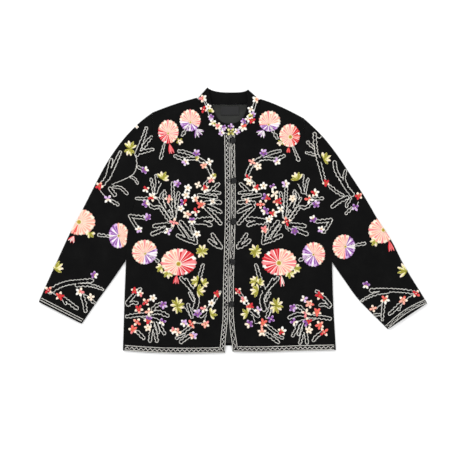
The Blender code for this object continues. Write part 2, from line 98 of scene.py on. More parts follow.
class Surface:
    """A node material with its Principled shader and a few helpers to build on it."""

    def __init__(self, name, roughness, sheen=0.0, specular=0.25):
        self.material = bpy.data.materials.new(name)
        self.material.use_nodes = True
        self.tree = self.material.node_tree
        self.shader = self.tree.nodes["Principled BSDF"]
        self.shader.inputs["Roughness"].default_value = roughness
        self.shader.inputs["Sheen Weight"].default_value = sheen
        self.shader.inputs["Sheen Roughness"].default_value = 0.5
        self.shader.inputs["Specular IOR Level"].default_value = specular
        self.place = self.node("ShaderNodeTexCoord").outputs["Object"]

    def node(self, kind, **values):
        made = self.tree.nodes.new(kind)
        for key, value in values.items():
            setattr(made, key, value)
        return made

    def link(self, source, target):
        self.tree.links.new(source, target)

    def noise(self, per_mm, detail=3.0, roughness=0.6):
        made = self.node("ShaderNodeTexNoise")
        made.inputs["Scale"].default_value = per_mm / MM
        made.inputs["Detail"].default_value = detail
        made.inputs["Roughness"].default_value = roughness
        self.link(self.place, made.inputs["Vector"])
        return made.outputs["Fac"]

    def wave(self, per_mm, direction, distortion):
        made = self.node("ShaderNodeTexWave", bands_direction=direction)
        made.inputs["Scale"].default_value = per_mm / MM
        made.inputs["Distortion"].default_value = distortion
        self.link(self.place, made.inputs["Vector"])
        return made.outputs["Fac"]

    def math(self, operation, first, second):
        made = self.node("ShaderNodeMath", operation=operation)
        for socket, value in zip(made.inputs, (first, second)):
            if isinstance(value, float):
                socket.default_value = value
            else:
                self.link(value, socket)
        return made.outputs[0]

    def blend(self, first, share, second):
        """The first value times its share, and the second one times the rest."""
        rest = 1.0 - share
        return self.math("ADD", self.math("MULTIPLY", first, share), self.math("MULTIPLY", second, rest))

    def colours(self, factor, *stops):
        """Colours the surface by a factor, from (position, colour) stops."""
        ramp = self.node("ShaderNodeValToRGB")
        elements = ramp.color_ramp.elements
        while len(elements) < len(stops):
            elements.new(0.5)
        for element, (position, colour) in zip(elements, stops):
            element.position = position
            element.color = colour
        self.link(factor, ramp.inputs["Fac"])
        self.link(ramp.outputs["Color"], self.shader.inputs["Base Color"])

    def bump(self, height, distance_mm, strength):
        made = self.node("ShaderNodeBump")
        made.inputs["Strength"].default_value = strength
        made.inputs["Distance"].default_value = distance_mm * MM
        self.link(height, made.inputs["Height"])
        self.link(made.outputs["Normal"], self.shader.inputs["Normal"])


def scaled(colour, factor):
    return tuple(min(1.0, c * factor) for c in colour[:3]) + (1,)


def wool():
    """Felted black wool: a matted nap over a faint twill, with pale fibres here and there."""
    made = Surface("black_wool", 0.95, sheen=0.025, specular=0.08)
    nap = made.noise(per_mm=0.9, detail=6.0, roughness=0.75)
    patches = made.noise(per_mm=0.03, detail=4.0)
    twill = made.wave(per_mm=0.55, direction="DIAGONAL", distortion=2.5)
    tone = made.blend(nap, 0.6, patches)
    made.colours(tone, (0.3, srgb(5, 5, 6)), (0.55, srgb(12, 12, 12)), (0.78, srgb(25, 25, 25)))
    felt = made.math("ADD", nap, made.math("MULTIPLY", twill, 0.35))
    made.bump(felt, distance_mm=0.5, strength=0.7)
    return made.material


def lining():
    """Charcoal lining: a close plain weave, smoother than the wool."""
    made = Surface("charcoal_lining", 0.6, sheen=0.05)
    warp, weft = (made.wave(per_mm=0.9, direction=along, distortion=0.6) for along in "XY")
    weave = made.math("MULTIPLY", warp, weft)
    cloudy = made.noise(per_mm=0.05)
    made.colours(made.blend(weave, 0.5, cloudy), (0.2, srgb(27, 28, 26)), (0.8, srgb(40, 41, 38)))
    made.bump(weave, distance_mm=0.2, strength=0.6)
    return made.material


def satin():
    """The bare label: tight satin weave, a shade lighter than the lining."""
    made = Surface("black_satin", 0.38)
    weave = made.wave(per_mm=1.6, direction="X", distortion=0.3)
    made.colours(weave, (0.0, srgb(20, 20, 21)), (1.0, srgb(34, 34, 35)))
    made.bump(weave, distance_mm=0.12, strength=0.5)
    return made.material


def cord():
    """Black twisted cord of the closures."""
    made = Surface("black_cord", 0.7, sheen=0.15)
    fibres = made.noise(per_mm=1.4, detail=4.0)
    made.colours(fibres, (0.3, srgb(11, 11, 12)), (0.7, srgb(28, 28, 30)))
    made.bump(fibres, distance_mm=0.3, strength=0.6)
    return made.material


def yarn(name, colour):
    """Soft embroidery yarn in one colour, with fibres and a slight change of shade."""
    made = Surface("yarn_" + name, 0.78, sheen=0.08)
    fibres = made.noise(per_mm=1.8, detail=5.0, roughness=0.7)
    shade = made.noise(per_mm=0.12, detail=2.0)
    made.colours(made.blend(fibres, 0.5, shade),
                 (0.3, scaled(colour, 0.72)), (0.5, colour), (0.7, scaled(colour, 1.18)))
    made.bump(fibres, distance_mm=0.3, strength=0.45)
    return made.material


YARNS = {
    "W": ("white", srgb(242, 239, 232)),
    "C": ("cream", srgb(246, 228, 208)),
    "E": ("peach", srgb(242, 172, 153)),
    "K": ("pink", srgb(238, 138, 140)),
    "O": ("coral", srgb(236, 104, 92)),
    "R": ("red", srgb(206, 42, 52)),
    "P": ("purple", srgb(134, 76, 154)),
    "L": ("lilac", srgb(208, 174, 220)),
    "V": ("olive", srgb(152, 146, 50)),
    "Y": ("lime", srgb(224, 218, 152)),
    "G": ("ochre", srgb(186, 150, 44)),
}
YARN_CODES = "".join(YARNS)
YARN_MATERIALS = [yarn(name, colour) for name, colour in YARNS.values()]
WOOL, LINING, SATIN, CORD = wool(), lining(), satin(), cord()


# meshes from arrays
def mesh_object(name, verts, quads, materials, material_index=None):
    """A smooth mesh from points in millimetres and four-sided faces."""
    mesh = bpy.data.meshes.new(name)
    mesh.vertices.add(len(verts))
    mesh.vertices.foreach_set("co", (np.asarray(verts, dtype=np.float32) * MM).ravel())
    mesh.loops.add(4 * len(quads))
    mesh.loops.foreach_set("vertex_index", np.asarray(quads, dtype=np.int32).ravel())
    mesh.polygons.add(len(quads))
    mesh.polygons.foreach_set("loop_start", np.arange(0, 4 * len(quads), 4, dtype=np.int32))
    for made in materials:
        mesh.materials.append(made)
    if material_index is not None:
        mesh.polygons.foreach_set("material_index", np.asarray(material_index, dtype=np.int32))
    mesh.update(calc_edges=True)
    mesh.validate()
    mesh.shade_smooth()
    return add_object(name, mesh)


def unit(vectors):
    return vectors / np.maximum(np.linalg.norm(vectors, axis=-1, keepdims=True), 1e-9)


def tubes(paths, radii, sides=6, flat=0.85, closed=False):
    """Tubes round many paths with equal numbers of points; open ones have six sides and two caps.

    Returns the points, the faces, and for each face the path and the stretch that it belongs to.
    """
    if closed:
        tangent = np.roll(paths, -1, axis=1) - np.roll(paths, 1, axis=1)
    else:
        tangent = np.gradient(paths, axis=1)
    tangent = unit(tangent)
    across = unit(np.cross(tangent, UP))
    over = np.cross(across, tangent)
    angle = 2 * np.pi * np.arange(sides) / sides
    ring = (across[:, :, None] * np.cos(angle)[:, None] + over[:, :, None] * (np.sin(angle) * flat)[:, None])
    verts = paths[:, :, None] + ring * radii[:, :, None, None]
    count, length = paths.shape[:2]
    index = np.arange(count * length * sides).reshape(count, length, sides)
    ahead = np.roll(index, -1, axis=1) if closed else index[:, 1:]
    base = index if closed else index[:, :-1]
    quads = np.stack((base, ahead, np.roll(ahead, -1, axis=2), np.roll(base, -1, axis=2)), axis=-1)
    path, stretch = np.meshgrid(np.arange(count), np.arange(base.shape[1]), indexing="ij")
    faces = [quads.reshape(-1, 4)]
    owner = [np.repeat(path.ravel(), sides)]
    part = [np.repeat(stretch.ravel(), sides)]
    if not closed:
        for end, order in ((0, 1), (length - 1, -1)):
            for corners in ([0, 1, 2, 3], [0, 3, 4, 5]):
                faces.append(index[:, end][:, corners[::order]])
                owner.append(np.arange(count))
                part.append(np.full(count, 0 if end == 0 else length - 2))
    return verts.reshape(-1, 3), np.concatenate(faces), np.concatenate(owner), np.concatenate(part)


# the cloth
# Creases and folds: both ends, width and height in millimetres, below 0 for a hollow
CREASES = [
    (140, 231, 214, 230, 7, -0.45),
    (238, 230, 322, 233, 7, -0.45),
    (176, 104, 180, 350, 16, 0.35),
    (281, 104, 279, 349, 16, 0.35),
    (128, 262, 150, 276, 8, 0.6),
    (128, 256, 158, 262, 7, -0.5),
    (331, 262, 308, 276, 8, 0.6),
    (330, 255, 300, 262, 7, -0.5),
    (122, 262, 98, 276, 8, 0.7),
    (120, 252, 96, 262, 9, -0.6),
    (337, 262, 362, 276, 8, 0.7),
    (338, 252, 364, 264, 9, -0.6),
    (86, 232, 104, 246, 8, 0.5),
    (80, 246, 96, 258, 7, -0.5),
    (372, 236, 352, 250, 8, 0.5),
    (382, 252, 364, 262, 7, -0.5),
    (66, 262, 84, 276, 8, 0.5),
    (394, 264, 374, 280, 8, 0.5),
    (150, 118, 160, 150, 8, -0.5),
    (306, 122, 298, 152, 8, -0.5),
]
PUCKER = (0.35, 38.0)  # height and spacing of the gentle unevenness of pressed cloth
CREASES_SET_IN = 0.8  # creases reach their full height this far above a piece's underside
RIM_FLATNESS = 0.35  # a face whose normal leans out at least this far belongs to a rim
TINY = 1e-6
JOINED, SKEWED, RIM, CORNER_TURN, SHARP = (math.radians(a) for a in (50, 70, 45, 28, 55))


def refined(node, levels):
    """The node's own form with its surfaces smoothed and its rims kept crisp."""
    shape = bmesh.new()
    shape.from_mesh(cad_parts[node].data)
    bmesh.ops.remove_doubles(shape, verts=shape.verts, dist=TINY)
    bmesh.ops.join_triangles(shape, faces=shape.faces, angle_face_threshold=JOINED,
                             angle_shape_threshold=SKEWED)
    shape.normal_update()
    crease = shape.edges.layers.float.new("crease_edge")
    corner = shape.verts.layers.float.new("crease_vert")
    for edge in shape.edges:
        if len(edge.link_faces) == 2 and edge.calc_face_angle() > RIM:
            if min(abs(face.normal.z) for face in edge.link_faces) < RIM_FLATNESS:
                edge[crease] = 1.0
    for vert in shape.verts:
        rims = [edge.other_vert(vert).co - vert.co for edge in vert.link_edges if edge[crease] > 0.5]
        level = [Vector((away.x, away.y)) for away in rims if abs(away.z) < 0.5 * away.length]
        if len(level) == 2 and level[0].angle(-level[1]) > CORNER_TURN:
            vert[corner] = 1.0
    mesh = bpy.data.meshes.new(node + "_cloth")
    shape.to_mesh(mesh)
    shape.free()
    obj = add_object(node + "_cloth", mesh)
    smooth = obj.modifiers.new("smooth", "SUBSURF")
    smooth.levels = smooth.render_levels = levels
    fine = bpy.data.meshes.new_from_object(obj.evaluated_get(bpy.context.evaluated_depsgraph_get()))
    obj.modifiers.clear()
    obj.data = fine
    return obj


def segment_distance(points, start, end):
    """Distance of many plan points from one straight line, and the share along it."""
    span = end - start
    share = np.clip(((points - start) @ span) / max(span @ span, 1e-9), 0, 1)
    return np.linalg.norm(points - (start + share[:, None] * span), axis=1), share


def crease_heights(points):
    """How far creases and pucker lift plan points of the cloth; a crease fades towards its ends."""
    heights = np.zeros(len(points))
    for u0, v0, u1, v1, wide, tall in CREASES:
        away, share = segment_distance(points, place(u0, v0), place(u1, v1))
        heights += tall * np.exp(-(away / wide) ** 2) * np.sin(np.pi * (0.1 + 0.8 * share))
    tall, spacing = PUCKER
    heights += tall * np.array([noise.noise(Vector((x / spacing, y / spacing, 3.0))) for x, y in points])
    return heights


def make_cloth(node, levels, material, lowest_mm):
    """One cloth piece, with creases worked into what lies above the given height."""
    obj = refined(node, levels)
    mesh = obj.data
    points = np.empty(3 * len(mesh.vertices), dtype=np.float32)
    mesh.vertices.foreach_get("co", points)
    points = points.reshape(-1, 3).astype(float) / MM
    if lowest_mm is not None:
        share = np.clip((points[:, 2] - lowest_mm) / CREASES_SET_IN, 0, 1)
        points[:, 2] += crease_heights(points[:, :2]) * share
        mesh.vertices.foreach_set("co", (points * MM).astype(np.float32).ravel())
    mesh.materials.clear()
    mesh.materials.append(material)
    mesh.update()
    mesh.shade_smooth()
    mesh.set_sharp_from_angle(angle=SHARP)
    stands_for(obj, node)
    return obj


# Cloth pieces: node, levels of subdivision, material, and the height above which creases show
CLOTH = [
    ("back", 1, WOOL, None),
    ("back_lining", 1, LINING, None),
    ("front_right", 2, WOOL, 0.0),
    ("front_left", 2, WOOL, 0.0),
    ("sleeve_right", 2, WOOL, 2.4),
    ("sleeve_left", 2, WOOL, 2.4),
    ("collar", 2, WOOL, None),
]
cloth = {row[0]: make_cloth(*row) for row in CLOTH}
bpy.context.view_layer.update()
trees = {node: BVHTree.FromObject(obj, bpy.context.evaluated_depsgraph_get()) for node, obj in cloth.items()}


def cloth_top(node, x, y):
    """The top of a cloth piece at one plan point, in millimetres, or None beside the piece."""
    hit = trees[node].ray_cast(Vector((x * MM, y * MM, ABOVE)), DOWN)[0]
    return None if hit is None else hit.z / MM


# Height of the cloth on a plan grid, and which piece is on top
GRID = 2.0
LOW = np.array((-500.0, -345.0))
GRID_SIZE = (501, 346)


def read_heights():
    heights = np.full(GRID_SIZE, np.nan)
    owners = np.full(GRID_SIZE, -1)
    for number, node in enumerate(CARRIERS):
        first, last = (((corner[:2] - LOW) / GRID).astype(int) for corner in box_mm(node))
        first, last = np.maximum(first - 1, 0), np.minimum(last + 2, GRID_SIZE)
        for i in range(first[0], last[0]):
            for j in range(first[1], last[1]):
                top = cloth_top(node, *(LOW + GRID * np.array((i, j))))
                if top is not None and not top < np.nan_to_num(heights[i, j], nan=-1.0):
                    heights[i, j] = top
                    owners[i, j] = number
    return heights, owners


HEIGHTS, OWNERS = read_heights()


def nearest(points):
    """The grid cells nearest to plan points."""
    cells = np.rint((points - LOW) / GRID).astype(int)
    return np.clip(cells[..., 0], 0, GRID_SIZE[0] - 1), np.clip(cells[..., 1], 0, GRID_SIZE[1] - 1)


def surface(points):
    """Cloth height under plan points, blended between grid places that have cloth."""
    cell = (points - LOW) / GRID
    base = np.clip(np.floor(cell).astype(int), 0, np.array(GRID_SIZE) - 2)
    share = np.clip(cell - base, 0, 1)
    total = np.zeros(points.shape[:-1])
    weight = np.zeros(points.shape[:-1])
    for i in (0, 1):
        for j in (0, 1):
            height = HEIGHTS[base[..., 0] + i, base[..., 1] + j]
            part = (share[..., 0] if i else 1 - share[..., 0]) * (share[..., 1] if j else 1 - share[..., 1])
            part = np.where(np.isnan(height), 0, part + TINY)
            total += part * np.nan_to_num(height)
            weight += part
    return total / np.maximum(weight, 1e-9)


def carrier_of(points):
    """The number of the cloth piece on top at each plan point, or -1."""
    return OWNERS[nearest(points)]


def off_lining(point):
    """The point itself, or where it lies over the lining the nearest place on the collar."""
    if carrier_of(point) != CARRIERS.index("back_lining"):
        return point
    collar_places = LOW + GRID * np.argwhere(OWNERS == CARRIERS.index("collar"))
    return collar_places[np.linalg.norm(collar_places - point, axis=1).argmin()]


# The wearer's left half mirrors the right one, apart from shifts of its sleeve and low outer body
MIRROR_SUM = 459.0  # a place and its mirror place on the body add up to this, across
LOWER_SLEEVE_V = 240.0  # the lower sleeve lies below this
LOW_BODY_U, LOW_BODY_V = 170, 285  # the low outer body lies outside and below these
UPPER_SLEEVE_SHIFT, LOWER_SLEEVE_SHIFT, LOW_BODY_SHIFT = (2.0, 4.0), (5.0, 5.0), (-2.0, 2.0)


def mirrored(places):
    """The matching places on the wearer's left half, by where the first of them lies."""
    u, v = places[0]
    shift = (0.0, 0.0)
    if carrier_of(place(u, v)) == CARRIERS.index("sleeve_right"):
        shift = LOWER_SLEEVE_SHIFT if v > LOWER_SLEEVE_V else UPPER_SLEEVE_SHIFT
    elif u < LOW_BODY_U and v > LOW_BODY_V:
        shift = LOW_BODY_SHIFT
    return [(MIRROR_SUM - u + shift[0], v + shift[1]) for u, v in places]


# plan curves
SPACING = 1.5
CURVE_STEPS = 12  # stretches of a curve from one of its points to the next


def smooth_line(points, spacing=SPACING):
    """A Catmull-Rom curve through plan points, at an even spacing in millimetres."""
    points = np.asarray(points, dtype=float)
    if len(points) > 2:
        ends = np.vstack((2 * points[0] - points[1], points, 2 * points[-1] - points[-2]))
        t = np.linspace(0, 1, CURVE_STEPS, endpoint=False)[:, None]
        line = []
        for a, b, c, d in zip(ends, ends[1:], ends[2:], ends[3:]):
            line.append(0.5 * (2 * b + (c - a) * t + (2 * a - 5 * b + 4 * c - d) * t ** 2
                               + (3 * b - 3 * c + d - a) * t ** 3))
        points = np.vstack(line + [points[-1:]])
    return resampled(points, spacing)


def resampled(points, spacing):
    reach = np.concatenate(([0], np.cumsum(np.linalg.norm(np.diff(points, axis=0), axis=1))))
    count = max(2, int(round(reach[-1] / spacing)) + 1)
    want = np.linspace(0, reach[-1], count)
    return np.stack([np.interp(want, reach, points[:, k]) for k in (0, 1)], axis=1)


def sideways(line):
    """Unit vectors to the left of a plan curve."""
    tangent = unit(np.gradient(line, axis=0))
    return np.stack((-tangent[:, 1], tangent[:, 0]), axis=1)


# chain stitch
STITCH_PITCH = 3.0
STITCH_LONG = 3.9
STITCH_WIDE = 1.3
BORDER_WIDE = 1.2
YARN_RADIUS = 0.4
WIDTH_SPREAD, RADIUS_SPREAD = 0.12, 0.1  # how uneven hand stitches are
OVER_BLOSSOM = 2.2  # how much higher a stem lies where it crosses its blossom
LINK_POINTS = 8
chain_links = {node: [] for node in CARRIERS}


def chain(line, keep=None, wide=STITCH_WIDE, lift=None, spaced=False):
    """Lays a row of chain stitches along a plan curve, where keep says so."""
    if not spaced:
        line = resampled(line, STITCH_PITCH)
    if len(line) < 3:
        return
    middle = (line[1:] + line[:-1]) / 2
    ahead = unit(line[1:] - line[:-1])
    owner = carrier_of(middle)
    raised = np.zeros(len(middle)) if lift is None else lift(middle)
    kept = owner >= 0
    if keep is not None:
        kept &= keep(middle)
    for number, node in enumerate(CARRIERS):
        chosen = kept & (owner == number)
        if chosen.any():
            columns = np.column_stack((middle, ahead, np.full(len(middle), wide), raised))
            chain_links[node].append(columns[chosen])


def make_chains(node):
    """All of a cloth piece's chain stitches: a loop of yarn each, wider and higher at its head."""
    if not chain_links[node]:
        return None
    links = np.concatenate(chain_links[node])
    middle, ahead, wide, raised = links[:, :2], links[:, 2:4], links[:, 4:5], links[:, 5:6]
    angle = 2 * np.pi * np.arange(LINK_POINTS) / LINK_POINTS
    left = np.stack((-ahead[:, 1], ahead[:, 0]), axis=1)
    along = np.cos(angle) * STITCH_LONG / 2
    uneven = 1 + WIDTH_SPREAD * rng.standard_normal((len(links), 1))
    out = np.sin(angle) * wide / 2 * (0.85 + 0.3 * np.cos(angle)) * uneven
    plan = middle[:, None] + ahead[:, None] * along[:, None] + left[:, None] * out[:, :, None]
    height = surface(plan) + YARN_RADIUS * (0.85 + 0.55 * (1 + np.cos(angle))) + raised
    paths = np.concatenate((plan, height[..., None]), axis=-1)
    uneven = 1 + RADIUS_SPREAD * rng.standard_normal((len(links), 1))
    radii = YARN_RADIUS * np.sqrt(wide / STITCH_WIDE) * uneven
    verts, faces, _, _ = tubes(paths, np.repeat(radii, LINK_POINTS, axis=1), sides=3, closed=True)
    obj = mesh_object(node + "_chain_stitch", verts, faces, YARN_MATERIALS[:1])
    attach(obj, "root")
    return obj


# yarn strands
STRAND_SAG = 0.8  # how far below its root's ground a strand may lie
strands = {node: [] for node in CARRIERS}


def strand(plan, lift, radius, codes, carrier=None):
    """One laid strand of yarn: plan points, heights above the cloth, radii, and colour by stretch."""
    node = carrier or CARRIERS[max(0, int(carrier_of(plan[:1])[0]))]
    ground = np.maximum(surface(plan), surface(plan[:1]) - STRAND_SAG)
    path = np.concatenate((plan, (ground + lift)[:, None]), axis=1)
    strands[node].append((path, radius, [YARN_CODES.index(code) for code in codes]))


def strand_tubes(rows):
    """The points and faces of many strands, and the yarn of each face."""
    paths, radii, codes = (np.array(column) for column in zip(*rows))
    verts, faces, owner, part = tubes(paths, radii)
    return verts, faces, codes[owner, part]


def make_flowers(node):
    """All of a cloth piece's small blossoms and leaves."""
    if not strands[node]:
        return None
    verts, faces, codes = strand_tubes(strands[node])
    obj = mesh_object(node + "_flowers", verts, faces, YARN_MATERIALS, codes)
    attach(obj, "root")
    return obj


PETAL_PROFILE = np.array((0.35, 0.75, 0.95, 1.1, 0.95, 0.4))
PETAL_SHARES = np.array((0.0, 0.25, 0.5, 0.75, 0.94, 1.0))
PETAL_LIFT = 0.35
SHORTEST_PETAL = 1.5
SIDES_SHORTER, SIDES_LOWER = 0.2, 0.25  # the outermost strands, as a share and in millimetres
LENGTH_SPREAD, THICKNESS_SPREAD = 0.02, 0.08


def room_along(centre, direction, reach):
    """How far a petal may reach before the cloth under it ends."""
    steps = np.arange(1.0, reach + 2.0)
    bare = np.nonzero(carrier_of(centre + direction * steps[:, None]) < 0)[0]
    return min(reach, steps[bare[0]] - 1.0) if len(bare) else reach


def petal(centre, direction, start, reach, spread, count, codes, radius, tall, carrier=None):
    """A petal of satin stitch: strands side by side that fan out from the centre and meet at the tip."""
    share = PETAL_SHARES
    side = np.array((-direction[1], direction[0]))
    reach = room_along(centre, direction, reach)
    if reach < start + SHORTEST_PETAL:
        return
    for k in range(count):
        offset = (k - (count - 1) / 2) / ((count - 1) / 2)
        long = reach * (1 - SIDES_SHORTER * abs(offset) ** 2.5) * (1 + LENGTH_SPREAD * rng.standard_normal())
        along = start + (long - start) * share
        aside = offset * spread * np.sin(np.pi * (0.08 + 0.5 * share)) ** 0.9
        plan = centre + direction * along[:, None] + side * aside[:, None]
        arch = np.sin(np.pi * (0.1 + 0.85 * share)) ** 0.7
        height = PETAL_LIFT + (tall - SIDES_LOWER * abs(offset)) * arch
        thick = radius * PETAL_PROFILE * (1 + THICKNESS_SPREAD * rng.standard_normal())
        strand(plan, height, thick, codes[k % len(codes)], carrier)


def turned(angle):
    return np.array((math.cos(angle), math.sin(angle)))


WARM = "ROKE"


def petal_colours(first, second, k, early):
    """The colours along a small blossom's petal: pale tips round a warm heart, or one shade to each side."""
    if first in WARM and second in WARM:
        return (first * 4 + "K", first * 2 + "CCC", first * 2 + second * 3, first + second + "CCC")[k % 4]
    base = first if early else second
    if base in WARM:
        return base * 4 + "K" if k % 2 else base * 2 + "CCC"
    if base in "PL":
        return base * 3 + ("L" if base == "P" or k % 2 else "W") * 2
    return ("V" if base == "Y" else "C") * 2 + base * 3


BLOSSOM_TURN = 2.4  # radians from one small blossom's first petal to the next one's


def small_blossom(number, codes, u, v, size):
    """A little flower of plump stitched petals, part in one colour and part in another."""
    centre = off_lining(place(u, v))
    count = 5 if number % 3 else 4
    turn = number * BLOSSOM_TURN
    for k in range(count):
        colours = petal_colours(codes[0], codes[-1], k, k < (count + 1) // 2)
        petal(centre, turned(turn + 2 * math.pi * k / count), start=1.2, reach=size * 1.06 * STEP,
              spread=min(2.2, 0.55 * size), count=5, codes=(colours,), radius=1.05, tall=1.3)
    eye = "G" if number % 3 else "C"
    petal(centre, turned(turn + 0.5), start=-1.1, reach=1.3, spread=0.6, count=2, codes=(eye * 5,),
          radius=0.8, tall=1.9)


# The strands of a leaf side by side, for each of three kinds: half pale, olive and pale
LEAF_KINDS = (
    ("YYCCC", "VYYCC", "VVYYC", "VVVYY", "VVVVV"),
    ("VVVYY", "VVVVY", "VVVVV", "VVVVY", "VVVYC"),
    ("VYCCC", "YYCCC", "VYYCC", "VVYCC", "VVYYC"),
)
OUTER_LEAVES_SHORTER = 0.14


def leaf_fan(number, u, v, size, turn_degrees, spread, count):
    """A fan of long olive and cream leaves from one root."""
    centre = off_lining(place(u, v))
    for k in range(count):
        angle = math.radians(turn_degrees + spread * (k / (count - 1) - 0.5))
        reach = size * STEP * (1 - OUTER_LEAVES_SHORTER * abs(2 * k / (count - 1) - 1))
        petal(centre, turned(angle), start=0.3, reach=reach, spread=2.4, count=5,
              codes=LEAF_KINDS[(k + number) % 3], radius=1.1, tall=1.4)


# motif tables, in layout steps
# Small blossoms: colours, place and petal length. The wearer's right half, then left half, then collar
RIGHT_BLOSSOMS = [
    ("W", 137, 127, 1.6), ("PW", 145, 170, 3.8), ("RE", 99.5, 186, 4.0), ("LW", 108, 199, 4.2),
    ("PL", 196.5, 153, 3.8), ("WL", 185.6, 162, 3.8), ("W", 209.5, 162, 3.8), ("E", 204, 165.5, 3.4),
    ("CK", 211.5, 179, 4.2), ("C", 198, 185, 3.4), ("W", 188, 188, 3.8), ("LP", 177, 183.5, 3.8),
    ("WR", 146, 189.5, 3.5), ("WR", 152.5, 197, 4.6), ("PW", 146, 203.5, 4.0), ("EK", 169, 199, 4.0),
    ("RW", 205.5, 189, 4.2), ("W", 186, 195, 4.2), ("RP", 183.5, 202.5, 4.2), ("WE", 195, 198.5, 4.0),
    ("OE", 201, 204.5, 4.3), ("RW", 195.5, 212, 4.3), ("CE", 187, 214.5, 4.2), ("W", 181, 208.5, 3.4),
    ("W", 212.5, 201.5, 3.2), ("WP", 192, 221, 3.8), ("W", 197, 234, 3.8), ("WL", 168, 231.5, 3.8),
    ("PL", 147.5, 217, 3.8), ("WL", 139, 229.5, 3.6), ("KE", 174, 222.5, 4.6),
    ("R", 134.5, 290.5, 3.4), ("WK", 140, 293.5, 3.4), ("RE", 146, 302, 4.0), ("W", 153, 298, 3.8),
    ("RE", 139, 309, 4.3), ("CE", 149, 312, 4.0), ("PL", 163.5, 305, 4.0), ("RP", 148.5, 320, 4.6),
    ("OE", 137, 322, 4.2), ("OK", 133, 329.5, 4.4), ("C", 148, 327.6, 3.8), ("PW", 162.5, 322, 3.8),
    ("R", 217, 294, 3.6), ("W", 211.5, 303, 3.6), ("KW", 204, 309, 3.8), ("PL", 197.5, 313, 4.2),
    ("LW", 184, 323, 3.8), ("OE", 191.5, 324, 4.6), ("EK", 205.5, 324, 4.0), ("KW", 173.6, 330.5, 3.6),
    ("CE", 177.5, 332, 4.0), ("LE", 193.5, 335.5, 4.0),
    ("PW", 94.5, 275, 3.8), ("RE", 48.5, 290, 4.0), ("RO", 60, 296, 4.4), ("WK", 80, 292, 4.4),
    ("C", 91, 297, 3.6), ("VC", 179.8, 141.5, 3.4),
]
LEFT_BLOSSOMS = [
    ("PL", 263.5, 152.6, 3.8), ("EK", 252, 162, 3.8), ("C", 258, 166.5, 3.8), ("WL", 277, 161.5, 3.8),
    ("RW", 248, 178.5, 4.2), ("W", 263.5, 186, 3.8), ("WL", 285.5, 184, 4.0), ("PW", 273, 187, 3.4),
    ("C", 249.5, 182.5, 3.4), ("RW", 256, 188.5, 4.2), ("C", 274.5, 194, 4.4), ("RP", 266, 197.5, 4.6),
    ("RE", 277.5, 201.5, 4.6), ("OE", 260.5, 204.5, 4.2), ("PW", 265, 211, 4.2), ("RW", 273.5, 213.5, 4.4),
    ("W", 280.5, 209.5, 3.8), ("W", 269, 219.5, 3.8), ("KE", 264.5, 229.5, 3.8), ("RE", 286.5, 221.5, 4.8),
    ("P", 294.5, 231, 3.8), ("C", 292.5, 198.5, 3.6), ("WE", 247.5, 200.5, 3.0),
    ("R", 326, 183, 3.6), ("RE", 358.5, 196, 3.8), ("PL", 355, 207.5, 3.8), ("PL", 316, 204, 4.0),
    ("WR", 315, 193, 4.2), ("OW", 309, 199.5, 4.6), ("PW", 313, 219, 3.8), ("WL", 321, 229.5, 3.6),
    ("R", 238, 291, 3.6), ("WK", 244, 300, 4.0), ("RO", 250, 306, 3.8), ("WL", 258, 310, 3.8),
    ("PC", 249, 324, 4.2), ("OE", 263, 323, 4.6), ("P", 271, 319, 3.8), ("EC", 262, 332, 4.4),
    ("RW", 282, 331, 4.4), ("LW", 304, 299, 3.8), ("PL", 293, 308, 4.0), ("EO", 309.5, 304, 4.2),
    ("CK", 306, 313, 4.6), ("O", 317, 312, 4.2), ("OE", 319.5, 325, 4.4), ("OR", 324, 332, 4.6),
    ("R", 319.5, 295.5, 4.4), ("RP", 307.5, 322, 4.8), ("PW", 294, 322, 4.0), ("C", 309, 330, 3.8),
    ("PW", 366, 285, 3.8), ("RO", 416, 293.5, 4.0), ("EO", 403, 300, 4.4), ("OW", 385, 299.5, 4.6),
    ("E", 373, 308.5, 3.6), ("VC", 280, 143, 3.0),
]
COLLAR_BLOSSOMS = [
    ("KW", 203, 98.5, 4.0), ("R", 203.5, 110, 3.6), ("W", 208.5, 107, 3.0), ("LP", 211, 117.5, 3.0),
    ("W", 212.5, 123, 3.8), ("KW", 218.5, 126.5, 3.8), ("LP", 224, 128, 2.8), ("LP", 231, 126.5, 3.0),
    ("LW", 221.5, 133, 3.2), ("LW", 237, 131.5, 3.2), ("Y", 230, 133.5, 4.2), ("WO", 243, 127.5, 4.2),
    ("PL", 243.5, 121.5, 2.8), ("W", 248, 119, 3.4), ("R", 252, 120.5, 3.4), ("LP", 253, 114.5, 2.8),
    ("W", 250.8, 109.5, 3.4), ("EW", 256, 99.5, 3.8),
]
